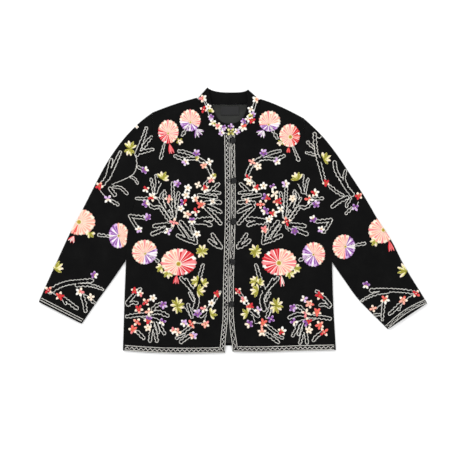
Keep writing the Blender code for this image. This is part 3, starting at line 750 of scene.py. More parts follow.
# Leaf fans: root, leaf length, middle direction and spread in degrees, and leaves
LEAF_FANS = [
    (130, 148.5, 8.4, 80, 110, 4), (130, 149, 7.4, 262, 110, 4), (162, 179, 8.2, 60, 140, 5),
    (202, 251, 7.2, 65, 190, 5), (202, 251.5, 7.2, 240, 90, 3), (162, 267.5, 6.4, 200, 130, 4),
    (168.5, 272, 7.0, 250, 120, 4), (197.5, 281.5, 7.0, 165, 150, 5), (202.5, 283.5, 6.6, 30, 130, 4),
    (197.5, 290.5, 8.2, 355, 140, 5), (177.5, 305.5, 8.4, 95, 160, 5), (177.5, 306.5, 7.6, 285, 130, 4),
    (210.5, 314, 7.4, 15, 140, 4), (54.3, 268.6, 10.0, 28, 110, 5), (90.5, 232.8, 5.8, 275, 150, 4),
    (298, 180, 8.6, 115, 120, 5), (323.5, 159, 7.8, 25, 150, 5), (376, 241, 6.4, 205, 120, 4),
    (255.5, 251, 7.2, 115, 190, 5), (255.5, 251.5, 7.2, 300, 90, 3), (295, 268, 6.4, 340, 130, 4),
    (289.5, 272, 7.0, 290, 120, 4), (256, 282, 7.0, 150, 140, 5), (258.5, 284, 6.8, 50, 110, 4),
    (258, 291, 8.2, 170, 140, 5), (276, 305.5, 8.4, 70, 160, 5), (276, 306.5, 7.6, 265, 130, 4),
    (247.5, 314, 7.4, 160, 140, 4), (406.5, 271.5, 10.4, 155, 130, 5),
    (211, 112, 3.8, 80, 120, 3), (213.5, 125, 3.2, 60, 120, 3), (250.5, 116.5, 3.4, 90, 120, 3),
    (196, 158.5, 3.2, 10, 120, 3), (213.5, 176, 3.2, 40, 120, 3),
]

# Branches: widths at both ends in millimetres, then the places it runs through, across and down in turn
RIGHT_BRANCHES = [
    (11, 6, 137, 154.5, 140.5, 145, 144, 136, 146.5, 128), (9, 6, 143.5, 147, 147.5, 141.5, 151.5, 137),
    (9, 6, 140.5, 152.5, 146, 151, 153, 149.5), (6, 7, 138, 167, 143, 169.5),
    (6, 5, 131, 177, 135, 179, 137.5, 183.5), (11, 8, 101, 186, 107, 178, 109.5, 169, 111.5, 160),
    (11, 6, 108, 178, 114, 166, 120.5, 152), (6, 7, 114, 187, 121, 188, 127, 193.5),
    (8, 8, 110, 188.5, 115, 195), (7, 7, 111, 200.5, 118, 204.5),
    (12, 9, 50, 291.5, 58, 286.5, 68, 283, 80, 281.5, 92, 280.5),
    (9, 5, 77, 285, 88, 284.8, 97, 287, 103, 289.5), (9, 8, 82, 295, 84.5, 303, 85.5, 311),
    (8, 8, 62, 297, 69.5, 302.5, 77, 308.3), (6, 6, 63, 299.5, 66, 303.5), (6, 6, 90, 299, 96, 304),
]
LEFT_BRANCHES = [
    (8, 7, 314.6, 134, 315.2, 144, 316.5, 154), (9, 8, 317.5, 156, 320.5, 167, 324, 181),
    (6, 6, 313.5, 148, 310.5, 145, 307.6, 142.2), (6, 6, 314, 155, 310, 153.5, 306.5, 152.7),
    (7, 6, 330, 186.5, 336, 191.5, 343, 195.5), (9, 9, 332.5, 206.5, 339, 201.5, 347, 197.5),
    (9, 7, 334.5, 162.5, 336, 171, 341, 180), (9, 11, 341, 179, 346, 187, 352, 194.5),
    (7, 6, 345.5, 171, 344, 179, 347, 186), (6, 6, 350.5, 198.5, 347, 203.5, 346.5, 206.5),
    (6, 6, 351.5, 208, 346, 213.5), (8, 9, 414, 292.5, 404, 291, 392, 290.2, 380, 290, 371, 290.5),
    (9, 4, 388, 291.5, 378, 293, 369, 296.5, 361, 301), (8, 5, 383.5, 303, 382.6, 312, 382, 320),
    (6, 6, 379.5, 314.5, 374, 315), (8, 7, 401, 303, 395, 309, 389.5, 314),
    (6, 6, 400, 306.5, 398.5, 309.5),
]
# Branches drawn on the wearer's right half and mirrored to the left one
BOTH_BRANCHES = [
    (7, 7, 179, 151, 186, 152.5, 195, 156, 200, 159.5), (7, 7, 175, 156, 183, 159, 192, 158.5, 200, 159.5),
    (9, 9, 198, 158.5, 205, 163, 209, 168, 212, 175), (8, 6, 175, 217, 173.5, 205, 173, 193, 172.5, 183),
    (6, 7, 176, 210, 177, 202, 178.5, 193), (9, 6, 168, 209, 165.5, 200, 164.5, 191),
    (7, 6, 163, 204, 161, 197, 163, 193), (7, 7, 169, 220, 160, 207),
    (7, 6, 171, 217, 163, 205, 158.5, 198.5), (6, 6, 171.5, 211, 166, 202),
    (6, 8, 148.5, 203.5, 153, 207.5, 158, 207), (6, 6, 150, 198, 143, 198.8, 136.5, 198.4),
    (6, 5, 154, 193, 152.5, 185, 151, 179), (9, 6, 156, 192, 157.5, 184, 156, 175.5),
    (7, 6, 158, 187, 162, 179.5), (9, 9, 170, 224.5, 162, 225, 154.5, 226),
    (9, 9, 170, 226.5, 161, 230.5, 152.5, 234), (8, 8, 130, 216, 137, 217, 144, 217.5),
    (8, 7, 130.5, 217, 134, 223, 137.5, 228), (9, 9, 181, 222, 186.5, 229, 191.5, 236),
    (7, 7, 179, 226, 184, 233, 187, 238), (9, 8, 178, 235.5, 186, 239.5, 196, 243),
    (8, 7, 196, 242, 194.5, 233, 191.5, 225), (10, 10, 194, 221, 203, 219.5, 211.5, 219),
    (9, 9, 196, 222.5, 204, 222.5, 210.5, 225), (9, 9, 205, 203, 213, 202, 220, 202.5),
    (9, 8, 206, 205, 214, 208.5, 220.5, 212), (8, 8, 205, 207, 213, 215, 220.5, 223.5),
    (8, 8, 199, 195, 208, 196.5, 216, 197.5), (8, 7, 208, 192, 214, 192.5, 219.5, 193),
    (8, 7, 211, 191, 215, 187, 218.5, 184), (6, 6, 204, 188, 206, 182.5, 209, 181),
    (8, 8, 221, 246.5, 216.5, 240.5, 212.5, 234.5), (8, 8, 221, 247.5, 214.5, 244.5, 209.5, 240.5),
    (12, 8, 195, 309, 197, 299, 192, 289.5, 181, 278), (8, 7, 191, 289, 188.5, 284, 186, 279.5),
    (10, 7, 195, 291, 199, 279, 203, 265), (6, 6, 189.5, 293, 193.5, 300.5),
    (7, 7, 192, 317, 190, 311, 188, 304.5), (9, 6, 201, 316, 208, 309.5, 214.5, 300, 220, 292),
    (7, 7, 191, 326, 186, 330, 182, 333), (8, 8, 192, 334, 187, 337.5, 181, 342),
    (6, 6, 184, 334.5, 176.5, 338), (9, 7, 127, 303, 133, 296, 140.5, 289),
    (7, 7, 128, 305, 132, 302.5, 137, 303), (8, 9, 127, 316.5, 137, 315, 148, 314, 158, 312, 167.5, 315.5),
    (8, 7, 152, 312, 155, 306.5, 160, 304), (9, 7, 149, 318, 153, 323, 151, 333, 150, 341),
    (8, 7, 152, 323, 155, 332, 157, 341), (9, 7, 150, 318.5, 158, 321, 161, 328, 164.5, 333.5),
    (7, 6, 155, 321, 157.5, 327, 158.5, 332.5), (7, 8, 135, 330.5, 139.5, 333.5, 143.5, 338),
]
# Single rows of chain stitch: the places they run through
RIGHT_STEMS = [
    (98.5, 188, 103, 194, 107, 198), (50, 291, 56, 295), (81, 293, 86, 295, 90, 297),
    (136, 155, 136.8, 165, 133.5, 174, 124, 179.5, 112, 184.5),
]
LEFT_STEMS = [
    (358.5, 202, 357, 205), (317.5, 137, 319.5, 138.5, 321.5, 136), (383, 302.5, 379, 306, 376, 309),
    (414, 294, 406, 299),
]
BOTH_STEMS = [
    (174.5, 220, 177, 212, 176, 208), (183.5, 306, 188, 312, 191, 318),
    (193, 323.5, 198, 323, 204, 323.5), (204.5, 322, 206, 316, 212, 313), (152, 196, 153, 192),
    (170, 231, 173, 228, 174, 225), (143, 303, 149, 299), (141, 317, 147, 319),
]
COLLAR_STEMS = [
    (203, 100, 206, 106, 209, 115, 212, 121, 217, 127.5, 224, 132.5, 230, 134),
    (205, 100, 209, 108, 211.5, 116, 214.5, 122, 219, 126, 224, 129.5),
    (257, 100, 255, 108, 252, 117, 247, 124, 240, 129.5, 231, 133.5),
    (254.5, 101, 252, 108, 249.5, 115, 246, 121),
]
# Round blossoms: the eye, its radius, the colours of the main part and of the other sector (most wedges,
# every few wedges, and the fine lines between them), where that sector runs in degrees, the stem's two
# ends, and the tassel's two ends, colours, petals and spread in degrees
BLOSSOM_COLUMNS = ("name", "eye", "eye_mm", "main", "other", "sector", "stem", "tassel")
ROUND_BLOSSOMS = [
    ("right_shoulder", (168.2, 133.5), 2.2, "EKC", "RKW", (150, 292),
     ((164.5, 143), (160.8, 158)), ((169.5, 144), (172, 154), "RK", 3, 26)),
    ("right_collar", (190.5, 122.5), 2.4, "EKC", "PWL", (165, 325),
     ((188.5, 126), (182.5, 135)), ((196, 129.5), (201, 136.5), "PW", 4, 80)),
    ("right_elbow", (79.2, 222.0), 5.0, "EEC", "ORE", (236, 256),
     None, ((74, 236), (70.5, 242.5), "RW", 3, 50)),
    ("right_armhole", (118.9, 235.8), 2.6, "EEC", "PWL", (100, 290),
     ((112, 236.5), (99, 235)), None),
    ("right_side", (145.2, 253.7), 2.2, "EKC", "PWL", (252, 385),
     ((150.5, 256), (158, 261)), None),
    ("right_waist", (178.6, 263.9), 5.4, "EKC", "RKW", (275, 440),
     None, ((176.5, 275.5), (176, 284), "RK", 3, 34)),
    ("left_shoulder", (290.3, 137.1), 4.4, "EKC", "ROW", (-70, 75),
     ((293, 146.5), (298.5, 160)), ((288.5, 147.5), (288.2, 153), "OR", 2, 22)),
    ("left_collar", (268.6, 124.8), 2.2, "EKC", "PWL", (190, 370),
     ((271, 128), (277, 138)), ((263.5, 130.5), (259, 136.5), "PW", 4, 80)),
    ("left_elbow", (383.2, 230.0), 4.4, "EKC", "EEC", (0, 10),
     None, ((389, 241), (391.5, 251.5), "RK", 3, 26)),
    ("left_armhole", (345.2, 246.6), 2.6, "EKC", "PWL", (-88, 72),
     ((350, 246), (364.5, 243.5)), None),
    ("left_side", (313.4, 254.6), 2.2, "EKC", "PWL", (120, 300),
     ((309, 256), (300, 260)), None),
    ("left_waist", (278.9, 263.0), 5.4, "EKC", "RKW", (90, 262),
     None, ((281, 275.5), (282.5, 286.5), "RW", 2, 16)),
]
WEDGES = 25
WEDGE_START = 0.3  # the first wedge's bearing, as a share of a wedge
RAY_STRANDS = 4
SECOND_EVERY = {"E": 3, "R": 4, "P": 3, "O": 3}  # how often a wedge takes the second colour, by the first
RAY_SHARES = np.array((0.0, 0.25, 0.5, 0.78, 0.95, 1.0))
RAY_PROFILE = np.array((0.45, 0.65, 0.88, 1.0, 0.95, 0.45))
THINNEST_RAY = 0.45
SHORTEST_RAY = 3.0
RAY_START = 0.9  # under the eye's rim, as a share of the eye's radius
RAY_LIFT, RAY_TALL, RAY_SIDES_LOWER = 0.45, 1.1, 0.2
RAY_SIDES_SHORTER, RAY_SPREAD = 0.075, 0.008
RAY_WIDE, FINE_LINE_WIDE = 1.12, 1.4  # strands overlap their neighbours by this factor

# Middle and half sizes in millimetres of the pads that the cloth's edge or fold cuts short
CUT_PADS = {
    "right_elbow": (-384, -4, 40, 33),
    "right_armhole": (-286, -38, 25, 32),
    "left_elbow": (370, -26, 33, 32),
    "left_armhole": (276.5, -66, 28.5, 31),
}
FOLD_MARGIN = 1.3  # strands stop this far inside the cloth's edge
LONGEST_REACH = 60  # more than any round blossom's radius
LEAST_REACH = 0.3
RIM_STEP = 0.5
RIM_BEARINGS = 90


def rim_of(name, carrier, centre):
    """The reach of a round blossom from its eye, by direction: to its oval rim, or to the cloth's end."""
    lo, hi = (corner[:2] for corner in box_mm("blossom_" + name))
    x, y, half_x, half_y = CUT_PADS.get(name, (*(lo + hi) / 2, *(hi - lo) / 2))
    bearings = np.linspace(-math.pi, math.pi, RIM_BEARINGS, endpoint=False)
    steps = np.arange(RIM_STEP, LONGEST_REACH, RIM_STEP)
    found = []
    for bearing in bearings:
        line = centre + turned(bearing) * steps[:, None]
        outside = ((line - (x, y)) / (half_x, half_y)) ** 2 @ (1, 1) > 1
        rim = steps[outside.argmax()]
        beside = (r for r, p in zip(steps[steps <= rim + 2], line) if cloth_top(carrier, *p) is None)
        edge = next(beside, rim + FOLD_MARGIN)
        found.append(max(LEAST_REACH, min(rim, edge - FOLD_MARGIN)))
    return lambda angle: float(np.interp(angle, bearings, found, period=2 * math.pi))


# The underlay's rings: how far out, as a share of its reach, and how high above the cloth
UNDERLAY_RINGS = ((0.02, 0.9), (0.5, 0.9), (0.85, 0.8), (1.0, 0.5), (1.0, 0.15), (0.5, 0.1), (0.02, 0.1))
UNDERLAY_REACH = 0.94  # as a share of the rim
UNDERLAY_SAG = 2.5
UNDERLAY_SPOKES = 54


def underlay(centre, rim):
    """A thin closed pad under a round blossom's strands."""
    spokes = UNDERLAY_SPOKES
    angle = 2 * np.pi * np.arange(spokes) / spokes
    reach = np.array([rim(a) for a in angle]) * UNDERLAY_REACH
    rings = []
    for share, lift in UNDERLAY_RINGS:
        plan = centre + np.stack((np.cos(angle), np.sin(angle)), axis=1) * (reach * share)[:, None]
        ground = np.maximum(surface(plan), surface(centre[None]) - UNDERLAY_SAG)
        rings.append(np.concatenate((plan, (ground + lift)[:, None]), axis=1))
    index = np.arange(len(rings) * spokes).reshape(len(rings), spokes)
    ahead = np.roll(index, -1, axis=1)
    quads = np.stack((index[:-1], index[1:], ahead[1:], ahead[:-1]), axis=-1).reshape(-1, 4)
    return np.vstack(rings), quads


def ray(centre, angle, start, rim, colours, line_code, tip, carrier):
    """One wedge of satin stitch from the eye to the rim: a fine line of another colour, then its strands."""
    half = math.pi / WEDGES
    for k in range(RAY_STRANDS):
        offset = (k - (RAY_STRANDS - 1) / 2) / (RAY_STRANDS / 2)
        bearing = angle + half * offset
        reach = rim(bearing) * (1 - RAY_SIDES_SHORTER * offset * offset + RAY_SPREAD * rng.standard_normal())
        if reach < start + SHORTEST_RAY:
            continue
        along = start + (reach - start) * RAY_SHARES
        plan = centre + turned(bearing) * along[:, None]
        arch = np.sin(np.pi * (0.12 + 0.8 * RAY_SHARES)) ** 0.6
        height = RAY_LIFT + RAY_TALL * arch - RAY_SIDES_LOWER * abs(offset)
        thick = half * reach / RAY_STRANDS * (FINE_LINE_WIDE if k == 0 else RAY_WIDE) * RAY_PROFILE
        codes = line_code * 5 if k == 0 else colours * 3 + tip * 2
        strand(plan, height, np.maximum(thick, THINNEST_RAY), codes, carrier)


# The eye's two rows of stitches: how many, where they start and end as shares of the eye's radius,
# their colours in turn, and how tall they stand
EYE_ROWS = (
    (11, 0.75, 1.75, ("YYCCC", "YYCCC"), 2.0),
    (7, 0.0, 1.0, ("GGGGG", "VVGGG"), 2.5),
)


def eye_knots(centre, radius, carrier):
    """The eye: a pale ring of short stitches round a knot of ochre ones."""
    for count, start, end, colours, tall in EYE_ROWS:
        for k in range(count):
            petal(centre, turned(2 * math.pi * k / count), radius * start, radius * end, spread=0.3 * radius,
                  count=2, codes=(colours[k % 2],), radius=0.2 * radius + 0.35, tall=tall, carrier=carrier)


def tassel(values, carrier):
    """Loops of yarn that hang from a round blossom's rim."""
    root, end, colours, count, spread = values
    root, end = place(*root), place(*end)
    away = end - root
    bearing = math.atan2(away[1], away[0])
    for k in range(count):
        swing = math.radians(spread) * (k / (count - 1) - 0.5)
        base, line = colours[k % 2], colours[(k + 1) % 2]
        petal(root, turned(bearing + swing), start=0.5, reach=float(np.linalg.norm(away)), spread=1.9,
              count=4, codes=(base * 5, base * 5, line * 5), radius=1.0, tall=1.5, carrier=carrier)


def round_blossom(values):
    """A round blossom of satin-stitched wedges, with its eye, stem and tassel."""
    row = dict(zip(BLOSSOM_COLUMNS, values))
    node = "blossom_" + row["name"]
    centre = place(*row["eye"])
    carrier = CARRIERS[int(carrier_of(centre[None])[0])]
    rim = rim_of(row["name"], carrier, centre)
    before = len(strands[carrier])
    first, last = (math.radians(a) for a in row["sector"])
    for k in range(WEDGES):
        angle = 2 * math.pi * (k + WEDGE_START) / WEDGES
        inside = (angle - first) % (2 * math.pi) < last - first
        main, second, line = row["other" if inside else "main"]
        base = second if k % SECOND_EVERY[main] == 0 else main
        tip = line if k % (4 if inside and main in WARM else 2) == 1 else base
        fine = second if main in WARM and inside and k % 2 else line
        ray(centre, angle, row["eye_mm"] * RAY_START, rim, base, fine, tip, carrier)
    eye_knots(centre, row["eye_mm"], carrier)
    if row["tassel"]:
        tassel(row["tassel"], carrier)
    verts, faces, codes = strand_tubes(strands[carrier][before:])
    del strands[carrier][before:]
    pad_verts, pad_faces = underlay(centre, rim)
    pad_codes = np.full(len(pad_faces), YARN_CODES.index(row["main"][0]))
    obj = mesh_object(node + "_yarn", np.vstack((verts, pad_verts)),
                      np.vstack((faces, pad_faces + len(verts))), YARN_MATERIALS,
                      np.concatenate((codes, pad_codes)))
    stands_for(obj, node)
    if row["stem"]:
        blossom_stems.append(outline(through(row["stem"]), *BLOSSOM_STEM_WIDTHS))
    return obj, carrier, centre, rim


# branches
BLOSSOM_STEM_WIDTHS = (3.5, 7.0)
INSIDE_MARGIN = 0.9
COVER_BLOSSOM, COVER_LEAF = 0.6, 0.5  # how much of a blossom or leaf fan hides what lies under it
WAVE = (1.7, 9.5)  # height and length of the ripple of an outline
RIPPLE_DRIFT = (1.2, 7)  # how far, in radians, and over what length the ripple runs ahead and lags
RIPPLE_SWELL = (0.3, 17)  # how much and over what length its height changes
STEM_RIPPLE = 0.6  # a stem's ripple, as a share of a branch's
CAP_POINTS = 9


def ripple_along(reach):
    """An uneven ripple, with its own start for each line."""
    tall, length = WAVE
    phase = rng.uniform(0, 2 * math.pi)
    drift, swell = (share * np.sin(reach / over + phase) for share, over in (RIPPLE_DRIFT, RIPPLE_SWELL))
    bend = 2 * math.pi * reach / length + drift + phase
    return tall * np.sin(bend) * (1 - RIPPLE_SWELL[0] + swell)


def through(places):
    return [place(*p) for p in places]


def rippled(line):
    return line + sideways(line) * STEM_RIPPLE * ripple_along(SPACING * np.arange(len(line)))[:, None]


def outline(points, first_width, last_width):
    """The rippled outline of one branch: its closed curve, centre line and half widths."""
    centre = smooth_line(points)
    side = sideways(centre)
    share = np.linspace(0, 1, len(centre))
    half = (first_width + (last_width - first_width) * share) / 2
    reach = share * SPACING * (len(centre) - 1)
    sides = [centre + side * (sign * (half + ripple_along(reach)))[:, None] for sign in (1, -1)]
    caps = []
    for end, sign in ((-1, 1), (0, -1)):
        ahead = np.array((side[end][1], -side[end][0])) * sign
        turn = np.linspace(0, math.pi, CAP_POINTS)[1:-1, None]
        caps.append(centre[end] + half[end] * (side[end] * sign * np.cos(turn) + ahead * np.sin(turn)))
    closed = np.vstack((sides[0], caps[0], sides[1][::-1], caps[1], sides[0][:1]))
    return closed, centre, half


def inside_of(shape, points):
    """Which plan points lie inside a branch."""
    _, centre, half = shape
    gap = np.linalg.norm(points[:, None] - centre[None], axis=2)
    near = gap.argmin(axis=1)
    return gap[np.arange(len(points)), near] < half[near] - INSIDE_MARGIN


def pairs(flat):
    return list(zip(flat[::2], flat[1::2]))


blossom_stems = []
drawn = [(first, last, pairs(flat)) for first, last, *flat in RIGHT_BRANCHES + LEFT_BRANCHES + BOTH_BRANCHES]
drawn += [(first, last, mirrored(pairs(flat))) for first, last, *flat in BOTH_BRANCHES]
branches = [outline(through(places), first, last) for first, last, places in drawn]

covers = []  # discs that hide the stitches under them
for number, (codes, u, v, size) in enumerate(RIGHT_BLOSSOMS + LEFT_BLOSSOMS + COLLAR_BLOSSOMS):
    small_blossom(number, codes, u, v, size)
    covers.append((place(u, v), size * STEP * COVER_BLOSSOM))
for number, (u, v, size, turn, spread, count) in enumerate(LEAF_FANS):
    leaf_fan(number, u, v, size, turn, spread, count)
    covers.append((place(u, v), size * STEP * COVER_LEAF))

round_blossoms = [round_blossom(values) for values in ROUND_BLOSSOMS]


def over_blossoms(points):
    """Which plan points lie over a round blossom."""
    found = np.zeros(len(points), dtype=bool)
    for _, _, centre, rim in round_blossoms:
        away = points - centre
        near = np.linalg.norm(away, axis=1)
        for k in np.nonzero(near < LONGEST_REACH)[0]:
            found[k] |= near[k] < rim(math.atan2(away[k, 1], away[k, 0])) + RIM_STEP
    return found


def uncovered(points):
    free = ~over_blossoms(points)
    for centre, radius in covers:
        free &= np.linalg.norm(points - centre, axis=1) > radius
    return free


for number, (closed, _, _) in enumerate(branches):
    lo, hi = closed.min(axis=0), closed.max(axis=0)
    near = [other for k, other in enumerate(branches)
            if k != number and (other[0].max(axis=0) > lo).all() and (other[0].min(axis=0) < hi).all()]

    def outside_others(points):
        free = uncovered(points)
        for other in near:
            free &= ~inside_of(other, points)
        return free

    chain(closed, outside_others)
for closed, _, _ in blossom_stems:
    chain(closed, lift=lambda points: OVER_BLOSSOM * over_blossoms(points))
stems = [pairs(flat) for flat in RIGHT_STEMS + LEFT_STEMS + BOTH_STEMS]
for places in stems + [mirrored(pairs(flat)) for flat in BOTH_STEMS]:
    chain(rippled(smooth_line(through(places))), uncovered)
for flat in COLLAR_STEMS:
    chain(smooth_line(through(pairs(flat))),
          lambda points: uncovered(points) & (carrier_of(points) != CARRIERS.index("back_lining")))

# borders
# How far in both straight rows and both sides of the zigzag lie, and how long a zigzag is
BORDER_COLUMNS = ("first_row", "second_row", "zig_near", "zig_far", "zig_length")
FRONT_BORDER = (1.6, 12.6, 4.0, 9.8, 11.5)
CUFF_BORDER = (2.0, 10.8, 4.6, 8.2, 21.0)
NARROWED_FROM = 0.4  # the share of an edge from which a narrowed border has its least width
LEFT_OPENING_NARROWED = 0.8
CUFF_BOW = 6.0  # how far the left cuff's border bows inwards
CUFF_ROWS = (5.7, 11.4)  # how far in the right cuff's two rows lie
CUFF_END = 3
CUFF_PLACES = 9
BUTTON_GAP = 7.5
CORNER = 15.0  # the hem's inner rows stop this far from the front edge
# Where the opening's edge is read: how far above the hem first, at what spacing, up to what height, and
# the height of its top. The search starts inside each front, at a distance from a line down the opening
OPENING_FIRST, OPENING_EVERY, OPENING_LAST, OPENING_TOP = 6, 12, 208, 213
OPENING_MIDDLE, INTO_FRONT = -8, 18
# The hem's border: how far from the opening and from the side it ends, in how many places the hem is
# read, and at what height inside the cloth the search for it starts
HEM_INNER, HEM_OUTER, HEM_PLACES, HEM_START = 2.5, 5, 20, -300
EDGE_STEP, EDGE_STEPS = 0.5, 400


def edge_along(node, fixed_axis, values, start, direction):
    """Where a cloth piece ends, read along one axis for each value on the other."""
    found = []
    for value in values:
        far = start
        pair = [value, value]
        for _ in range(EDGE_STEPS):
            pair[1 - fixed_axis] = far + direction * EDGE_STEP
            if cloth_top(node, *pair) is None:
                break
            far += direction * EDGE_STEP
        pair[1 - fixed_axis] = far
        found.append(pair)
    return np.array(found)


def border(edge, inward, sizes, keep=None, keep_inner=None, narrowed=1.0):
    """Two rows of chain stitch beside an edge and a zigzag between them, narrowed towards its end."""
    row = dict(zip(BORDER_COLUMNS, sizes))
    line = smooth_line(edge)
    side = sideways(line) * inward
    side *= np.interp(np.linspace(0, 1, len(line)), (0, NARROWED_FROM), (1, narrowed))[:, None]
    reach = np.linspace(0, SPACING * (len(line) - 1), len(line))
    chain(line + side * row["first_row"], keep, BORDER_WIDE)
    chain(line + side * row["second_row"], keep_inner or keep, BORDER_WIDE)
    count = int(reach[-1] / (row["zig_length"] / narrowed ** 2 / 4))
    quarter = np.linspace(0, reach[-1], count + 1)
    base = np.stack([np.interp(quarter, reach, line[:, k]) for k in (0, 1)], axis=1)
    away = np.stack([np.interp(quarter, reach, side[:, k]) for k in (0, 1)], axis=1)
    swing = np.array((0.0, 0.5, 1.0, 0.5))[np.arange(count + 1) % 4]
    zigzag = row["zig_near"] + (row["zig_far"] - row["zig_near"]) * swing
    chain(base + away * zigzag[:, None], keep_inner or keep, BORDER_WIDE, spaced=True)


button_heights = [sum(c[1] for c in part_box(f"button_{k}")) / 2 / MM for k in range(1, 6)]


def clear_of_buttons(points):
    return np.all([np.abs(points[:, 1] - y) > BUTTON_GAP for y in button_heights], axis=0)


for side, towards in (("right", 1), ("left", -1)):
    node = "front_" + side
    lo, hi = box_mm(node)
    opening_start = OPENING_MIDDLE - INTO_FRONT * towards
    heights = np.append(np.arange(lo[1] + OPENING_FIRST, OPENING_LAST, OPENING_EVERY), OPENING_TOP)
    opening = edge_along(node, 1, heights, opening_start, towards)
    if side == "right":
        border(opening, towards, FRONT_BORDER)
    else:
        border(opening, towards, FRONT_BORDER, clear_of_buttons, narrowed=LEFT_OPENING_NARROWED)
    inner = opening[0][0] - HEM_INNER * towards
    outer = lo[0] + HEM_OUTER if side == "right" else hi[0] - HEM_OUTER
    across = np.linspace(min(outer, inner), max(outer, inner), HEM_PLACES)
    hem = edge_along(node, 0, across, HEM_START, -1)
    border(hem, 1, FRONT_BORDER, None,
           lambda points: (opening[0][0] - points[:, 0]) * towards > CORNER)
    sleeve = np.array([v.co[:2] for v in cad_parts["sleeve_" + side].data.vertices]) / MM
    outer_corner = sleeve[(sleeve[:, 0] * -towards).argmax()]
    inner_corner = sleeve[sleeve[:, 1].argmin()]
    along = unit(inner_corner - outer_corner) * CUFF_END
    cuff = np.array((outer_corner + along, inner_corner - along))
    up = sideways(cuff) * towards
    if side == "right":
        for away in CUFF_ROWS:
            chain(cuff + up * away)
    else:
        share = np.linspace(0, 1, CUFF_PLACES)[:, None]
        straight = cuff[0] + (cuff[1] - cuff[0]) * share
        border(straight + up[0] * CUFF_BOW * np.sin(np.pi * share), towards, CUFF_BORDER)

chains = {node: make_chains(node) for node in CARRIERS}
flowers = {node: make_flowers(node) for node in CARRIERS}


# closures and label
KNOT_POINTS, KNOT_CORD, KNOT_SWING, KNOT_TALL, KNOT_CORE = 60, 1.35, 0.55, 1.15, 1.2
KNOT_INSET = 1.3
LOOP_INSET, LOOP_TURN, LOOP_PLACES = 1.1, math.radians(145), 26
LOOP_TAIL, LOOP_TAIL_APART = 0.4, 1.8
PLY_RADIUS, PLY_LAY, PLY_SPACING = 0.62, 4.2, 0.8  # a ply's radius, one full twist, and one stretch of it
PLY_ASIDE, PLY_HIGH = 0.5, 0.45


def knot_button(number):
    """A knot of cord: a closed three-lobed turn round a solid core."""
    node = f"button_{number}"
    lo, hi = box_mm(node)
    middle, size = (lo + hi) / 2, (hi - lo) / 2
    t = np.linspace(0, 2 * math.pi, KNOT_POINTS, endpoint=False)
    rows = []
    for turn in (0.0, math.pi / 2):
        swing = KNOT_SWING * np.sin(3 * t + turn)
        x, y = np.cos(2 * t + turn) * np.cos(swing), np.sin(2 * t + turn) * np.cos(swing)
        rows.append(np.stack((x, y, np.sin(swing) * KNOT_TALL), axis=1) * (size - KNOT_INSET) + middle)
    verts, faces, _, _ = tubes(np.array(rows), np.full((2, KNOT_POINTS), KNOT_CORD), flat=1.0, closed=True)
    core = bmesh.new()
    bmesh.ops.create_uvsphere(core, u_segments=16, v_segments=10, radius=1.0)
    bmesh.ops.scale(core, vec=Vector((size - KNOT_CORE) * MM), verts=core.verts)
    bmesh.ops.translate(core, vec=Vector(middle * MM), verts=core.verts)
    obj = mesh_object(node + "_knot", verts, faces, [CORD])
    core.from_mesh(obj.data)
    core.to_mesh(obj.data)
    core.free()
    obj.data.shade_smooth()
    stands_for(obj, node)
    return obj


def twisted_loop(number):
    """A loop of two-ply cord that runs from the right front round the knot button and back."""
    node = f"loop_{number}"
    lo, hi = box_mm(node)
    button = sum(box_mm(f"button_{number}")) / 2
    radius = (hi[1] - lo[1]) / 2 - LOOP_INSET
    height = (lo[2] + hi[2]) / 2
    around = np.linspace(LOOP_TURN, -LOOP_TURN, LOOP_PLACES)
    arc = button[:2] + radius * np.stack((np.cos(around), np.sin(around)), axis=1)
    tails = [(lo[0] + LOOP_TAIL, button[1] + apart) for apart in (LOOP_TAIL_APART, -LOOP_TAIL_APART)]
    line = smooth_line(np.vstack((tails[0], arc, tails[1])), PLY_SPACING)
    spin = np.arange(len(line)) * PLY_SPACING / PLY_LAY * 2 * math.pi
    side = sideways(line)
    rows = []
    for ply in (0, math.pi):
        plan = line + side * (np.cos(spin + ply) * PLY_ASIDE)[:, None]
        rows.append(np.concatenate((plan, (height + np.sin(spin + ply) * PLY_HIGH)[:, None]), axis=1))
    verts, faces, _, _ = tubes(np.array(rows), np.full((2, len(line)), PLY_RADIUS), flat=1.0)
    obj = mesh_object(node + "_cord", verts, faces, [CORD])
    stands_for(obj, node)
    return obj


LABEL_CELLS = (24, 10)
LABEL_WALL = 0.4
LABEL_LIFT = 0.15
LABEL_FOLD = (0.25, 0.46, 0.03)  # a folded end's height, and its place and width as shares of the length
LABEL_WAVE, LABEL_WAVES_X, LABEL_WAVES_Y = 0.12, 7, 4


def neck_label():
    """The bare woven label: a thin sheet with folded ends and a faint wave."""
    node = "neck_label"
    lo, hi = box_mm(node)
    shape = bmesh.new()
    bmesh.ops.create_grid(shape, x_segments=LABEL_CELLS[0], y_segments=LABEL_CELLS[1], size=0.5)
    tall, at, wide = LABEL_FOLD
    for vert in shape.verts:
        x, y = vert.co.x, vert.co.y
        fold = tall * max(0.0, 1 - abs(abs(x) - at) / wide)
        wave = LABEL_WAVE * math.sin(LABEL_WAVES_X * x) * math.cos(LABEL_WAVES_Y * y)
        vert.co = Vector(((lo[0] + hi[0]) / 2 + x * (hi[0] - lo[0]),
                          (lo[1] + hi[1]) / 2 + y * (hi[1] - lo[1]),
                          lo[2] + LABEL_LIFT + fold + wave)) * MM
    mesh = bpy.data.meshes.new(node + "_satin")
    shape.to_mesh(mesh)
    shape.free()
    mesh.materials.append(SATIN)
    mesh.shade_smooth()
    obj = add_object(node + "_satin", mesh)
    wall = obj.modifiers.new("wall", "SOLIDIFY")
    wall.thickness = LABEL_WALL * MM
    wall.offset = 1.0
    stands_for(obj, node)
    return obj


knots = [knot_button(k) for k in range(1, 6)]
loops = [twisted_loop(k) for k in range(1, 6)]
label = neck_label()

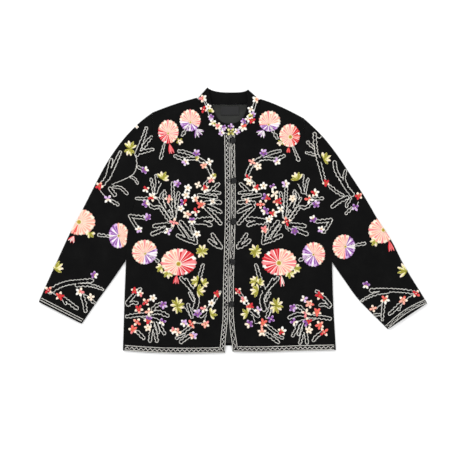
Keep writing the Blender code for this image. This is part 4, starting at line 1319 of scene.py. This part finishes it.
# What the cloth is cut to: node, width and length in metres, and area in square metres
SHEETS = [
    ("back", 0.54, 0.64, 0.28),
    ("back_lining", 0.50, 0.62, 0.24),
    ("front_right", 0.28, 0.645, 0.145),
    ("front_left", 0.28, 0.64, 0.14),
    ("sleeve_right", 0.33, 0.56, 0.12),
    ("sleeve_left", 0.33, 0.56, 0.12),
    ("collar", 0.42, 0.036, 0.0125),
]
for node, width, length, area in SHEETS:
    on_it = [obj for obj in (chains[node], flowers[node]) if obj]
    on_it += [obj for obj, carrier, _, _ in round_blossoms if carrier == node]
    if node == "front_left":
        on_it += knots
    if node == "front_right":
        on_it += loops
    if node == "back_lining":
        on_it.append(label)


# floor, light and camera
FLOOR_SIZE, FLOOR_Z = 8.0, -0.0004
FLOOR_TONES = (0.96, 0.98)
WORLD_LIGHT = 0.8
# Lamps: name, place and side in metres, and watts
LAMPS = (
    ("key", (-1.3, 1.5, 1.9), 1.4, 40),
    ("fill", (1.5, -0.8, 2.2), 2.0, 18),
)
LENS, SENSOR = 85.0, 36.0
CAMERA_RAISED = 0.005  # metres above the floor at which the view is just as wide as the layout


def studio():
    bpy.ops.mesh.primitive_plane_add(size=FLOOR_SIZE, location=(0, 0, FLOOR_Z))
    floor = bpy.context.object
    floor.name = "floor"
    paper = Surface("white_paper", 0.9)
    dark, pale = ((tone, tone, tone, 1) for tone in FLOOR_TONES)
    paper.colours(paper.noise(per_mm=0.002, detail=2.0), (0.3, dark), (0.7, pale))
    floor.data.materials.append(paper.material)
    world = bpy.data.worlds.new("studio")
    world.use_nodes = True
    world.node_tree.nodes["Background"].inputs["Color"].default_value = (1, 1, 1, 1)
    world.node_tree.nodes["Background"].inputs["Strength"].default_value = WORLD_LIGHT
    bpy.context.scene.world = world
    for name, position, size, power in LAMPS:
        light = bpy.data.lights.new(name, "AREA")
        light.size = size
        light.energy = power
        lamp = add_object(name, light)
        lamp.location = position
        lamp.rotation_mode = "QUATERNION"
        lamp.rotation_quaternion = (-Vector(position)).to_track_quat("-Z", "Y")


def camera():
    """Straight above the middle of the layout, square to the cloth."""
    view = bpy.data.cameras.new("camera")
    view.lens = LENS
    view.sensor_width = SENSOR
    view.clip_end = 20
    obj = add_object("camera", view)
    x, y = place(LAYOUT_SIDE / 2, LAYOUT_SIDE / 2) * MM
    obj.location = (x, y, LAYOUT_SIDE * STEP * MM * LENS / SENSOR + CAMERA_RAISED)
    bpy.context.scene.camera = obj


studio()
camera()
bpy.context.scene.view_settings.view_transform = "Standard"
bpy.context.view_layer.update()
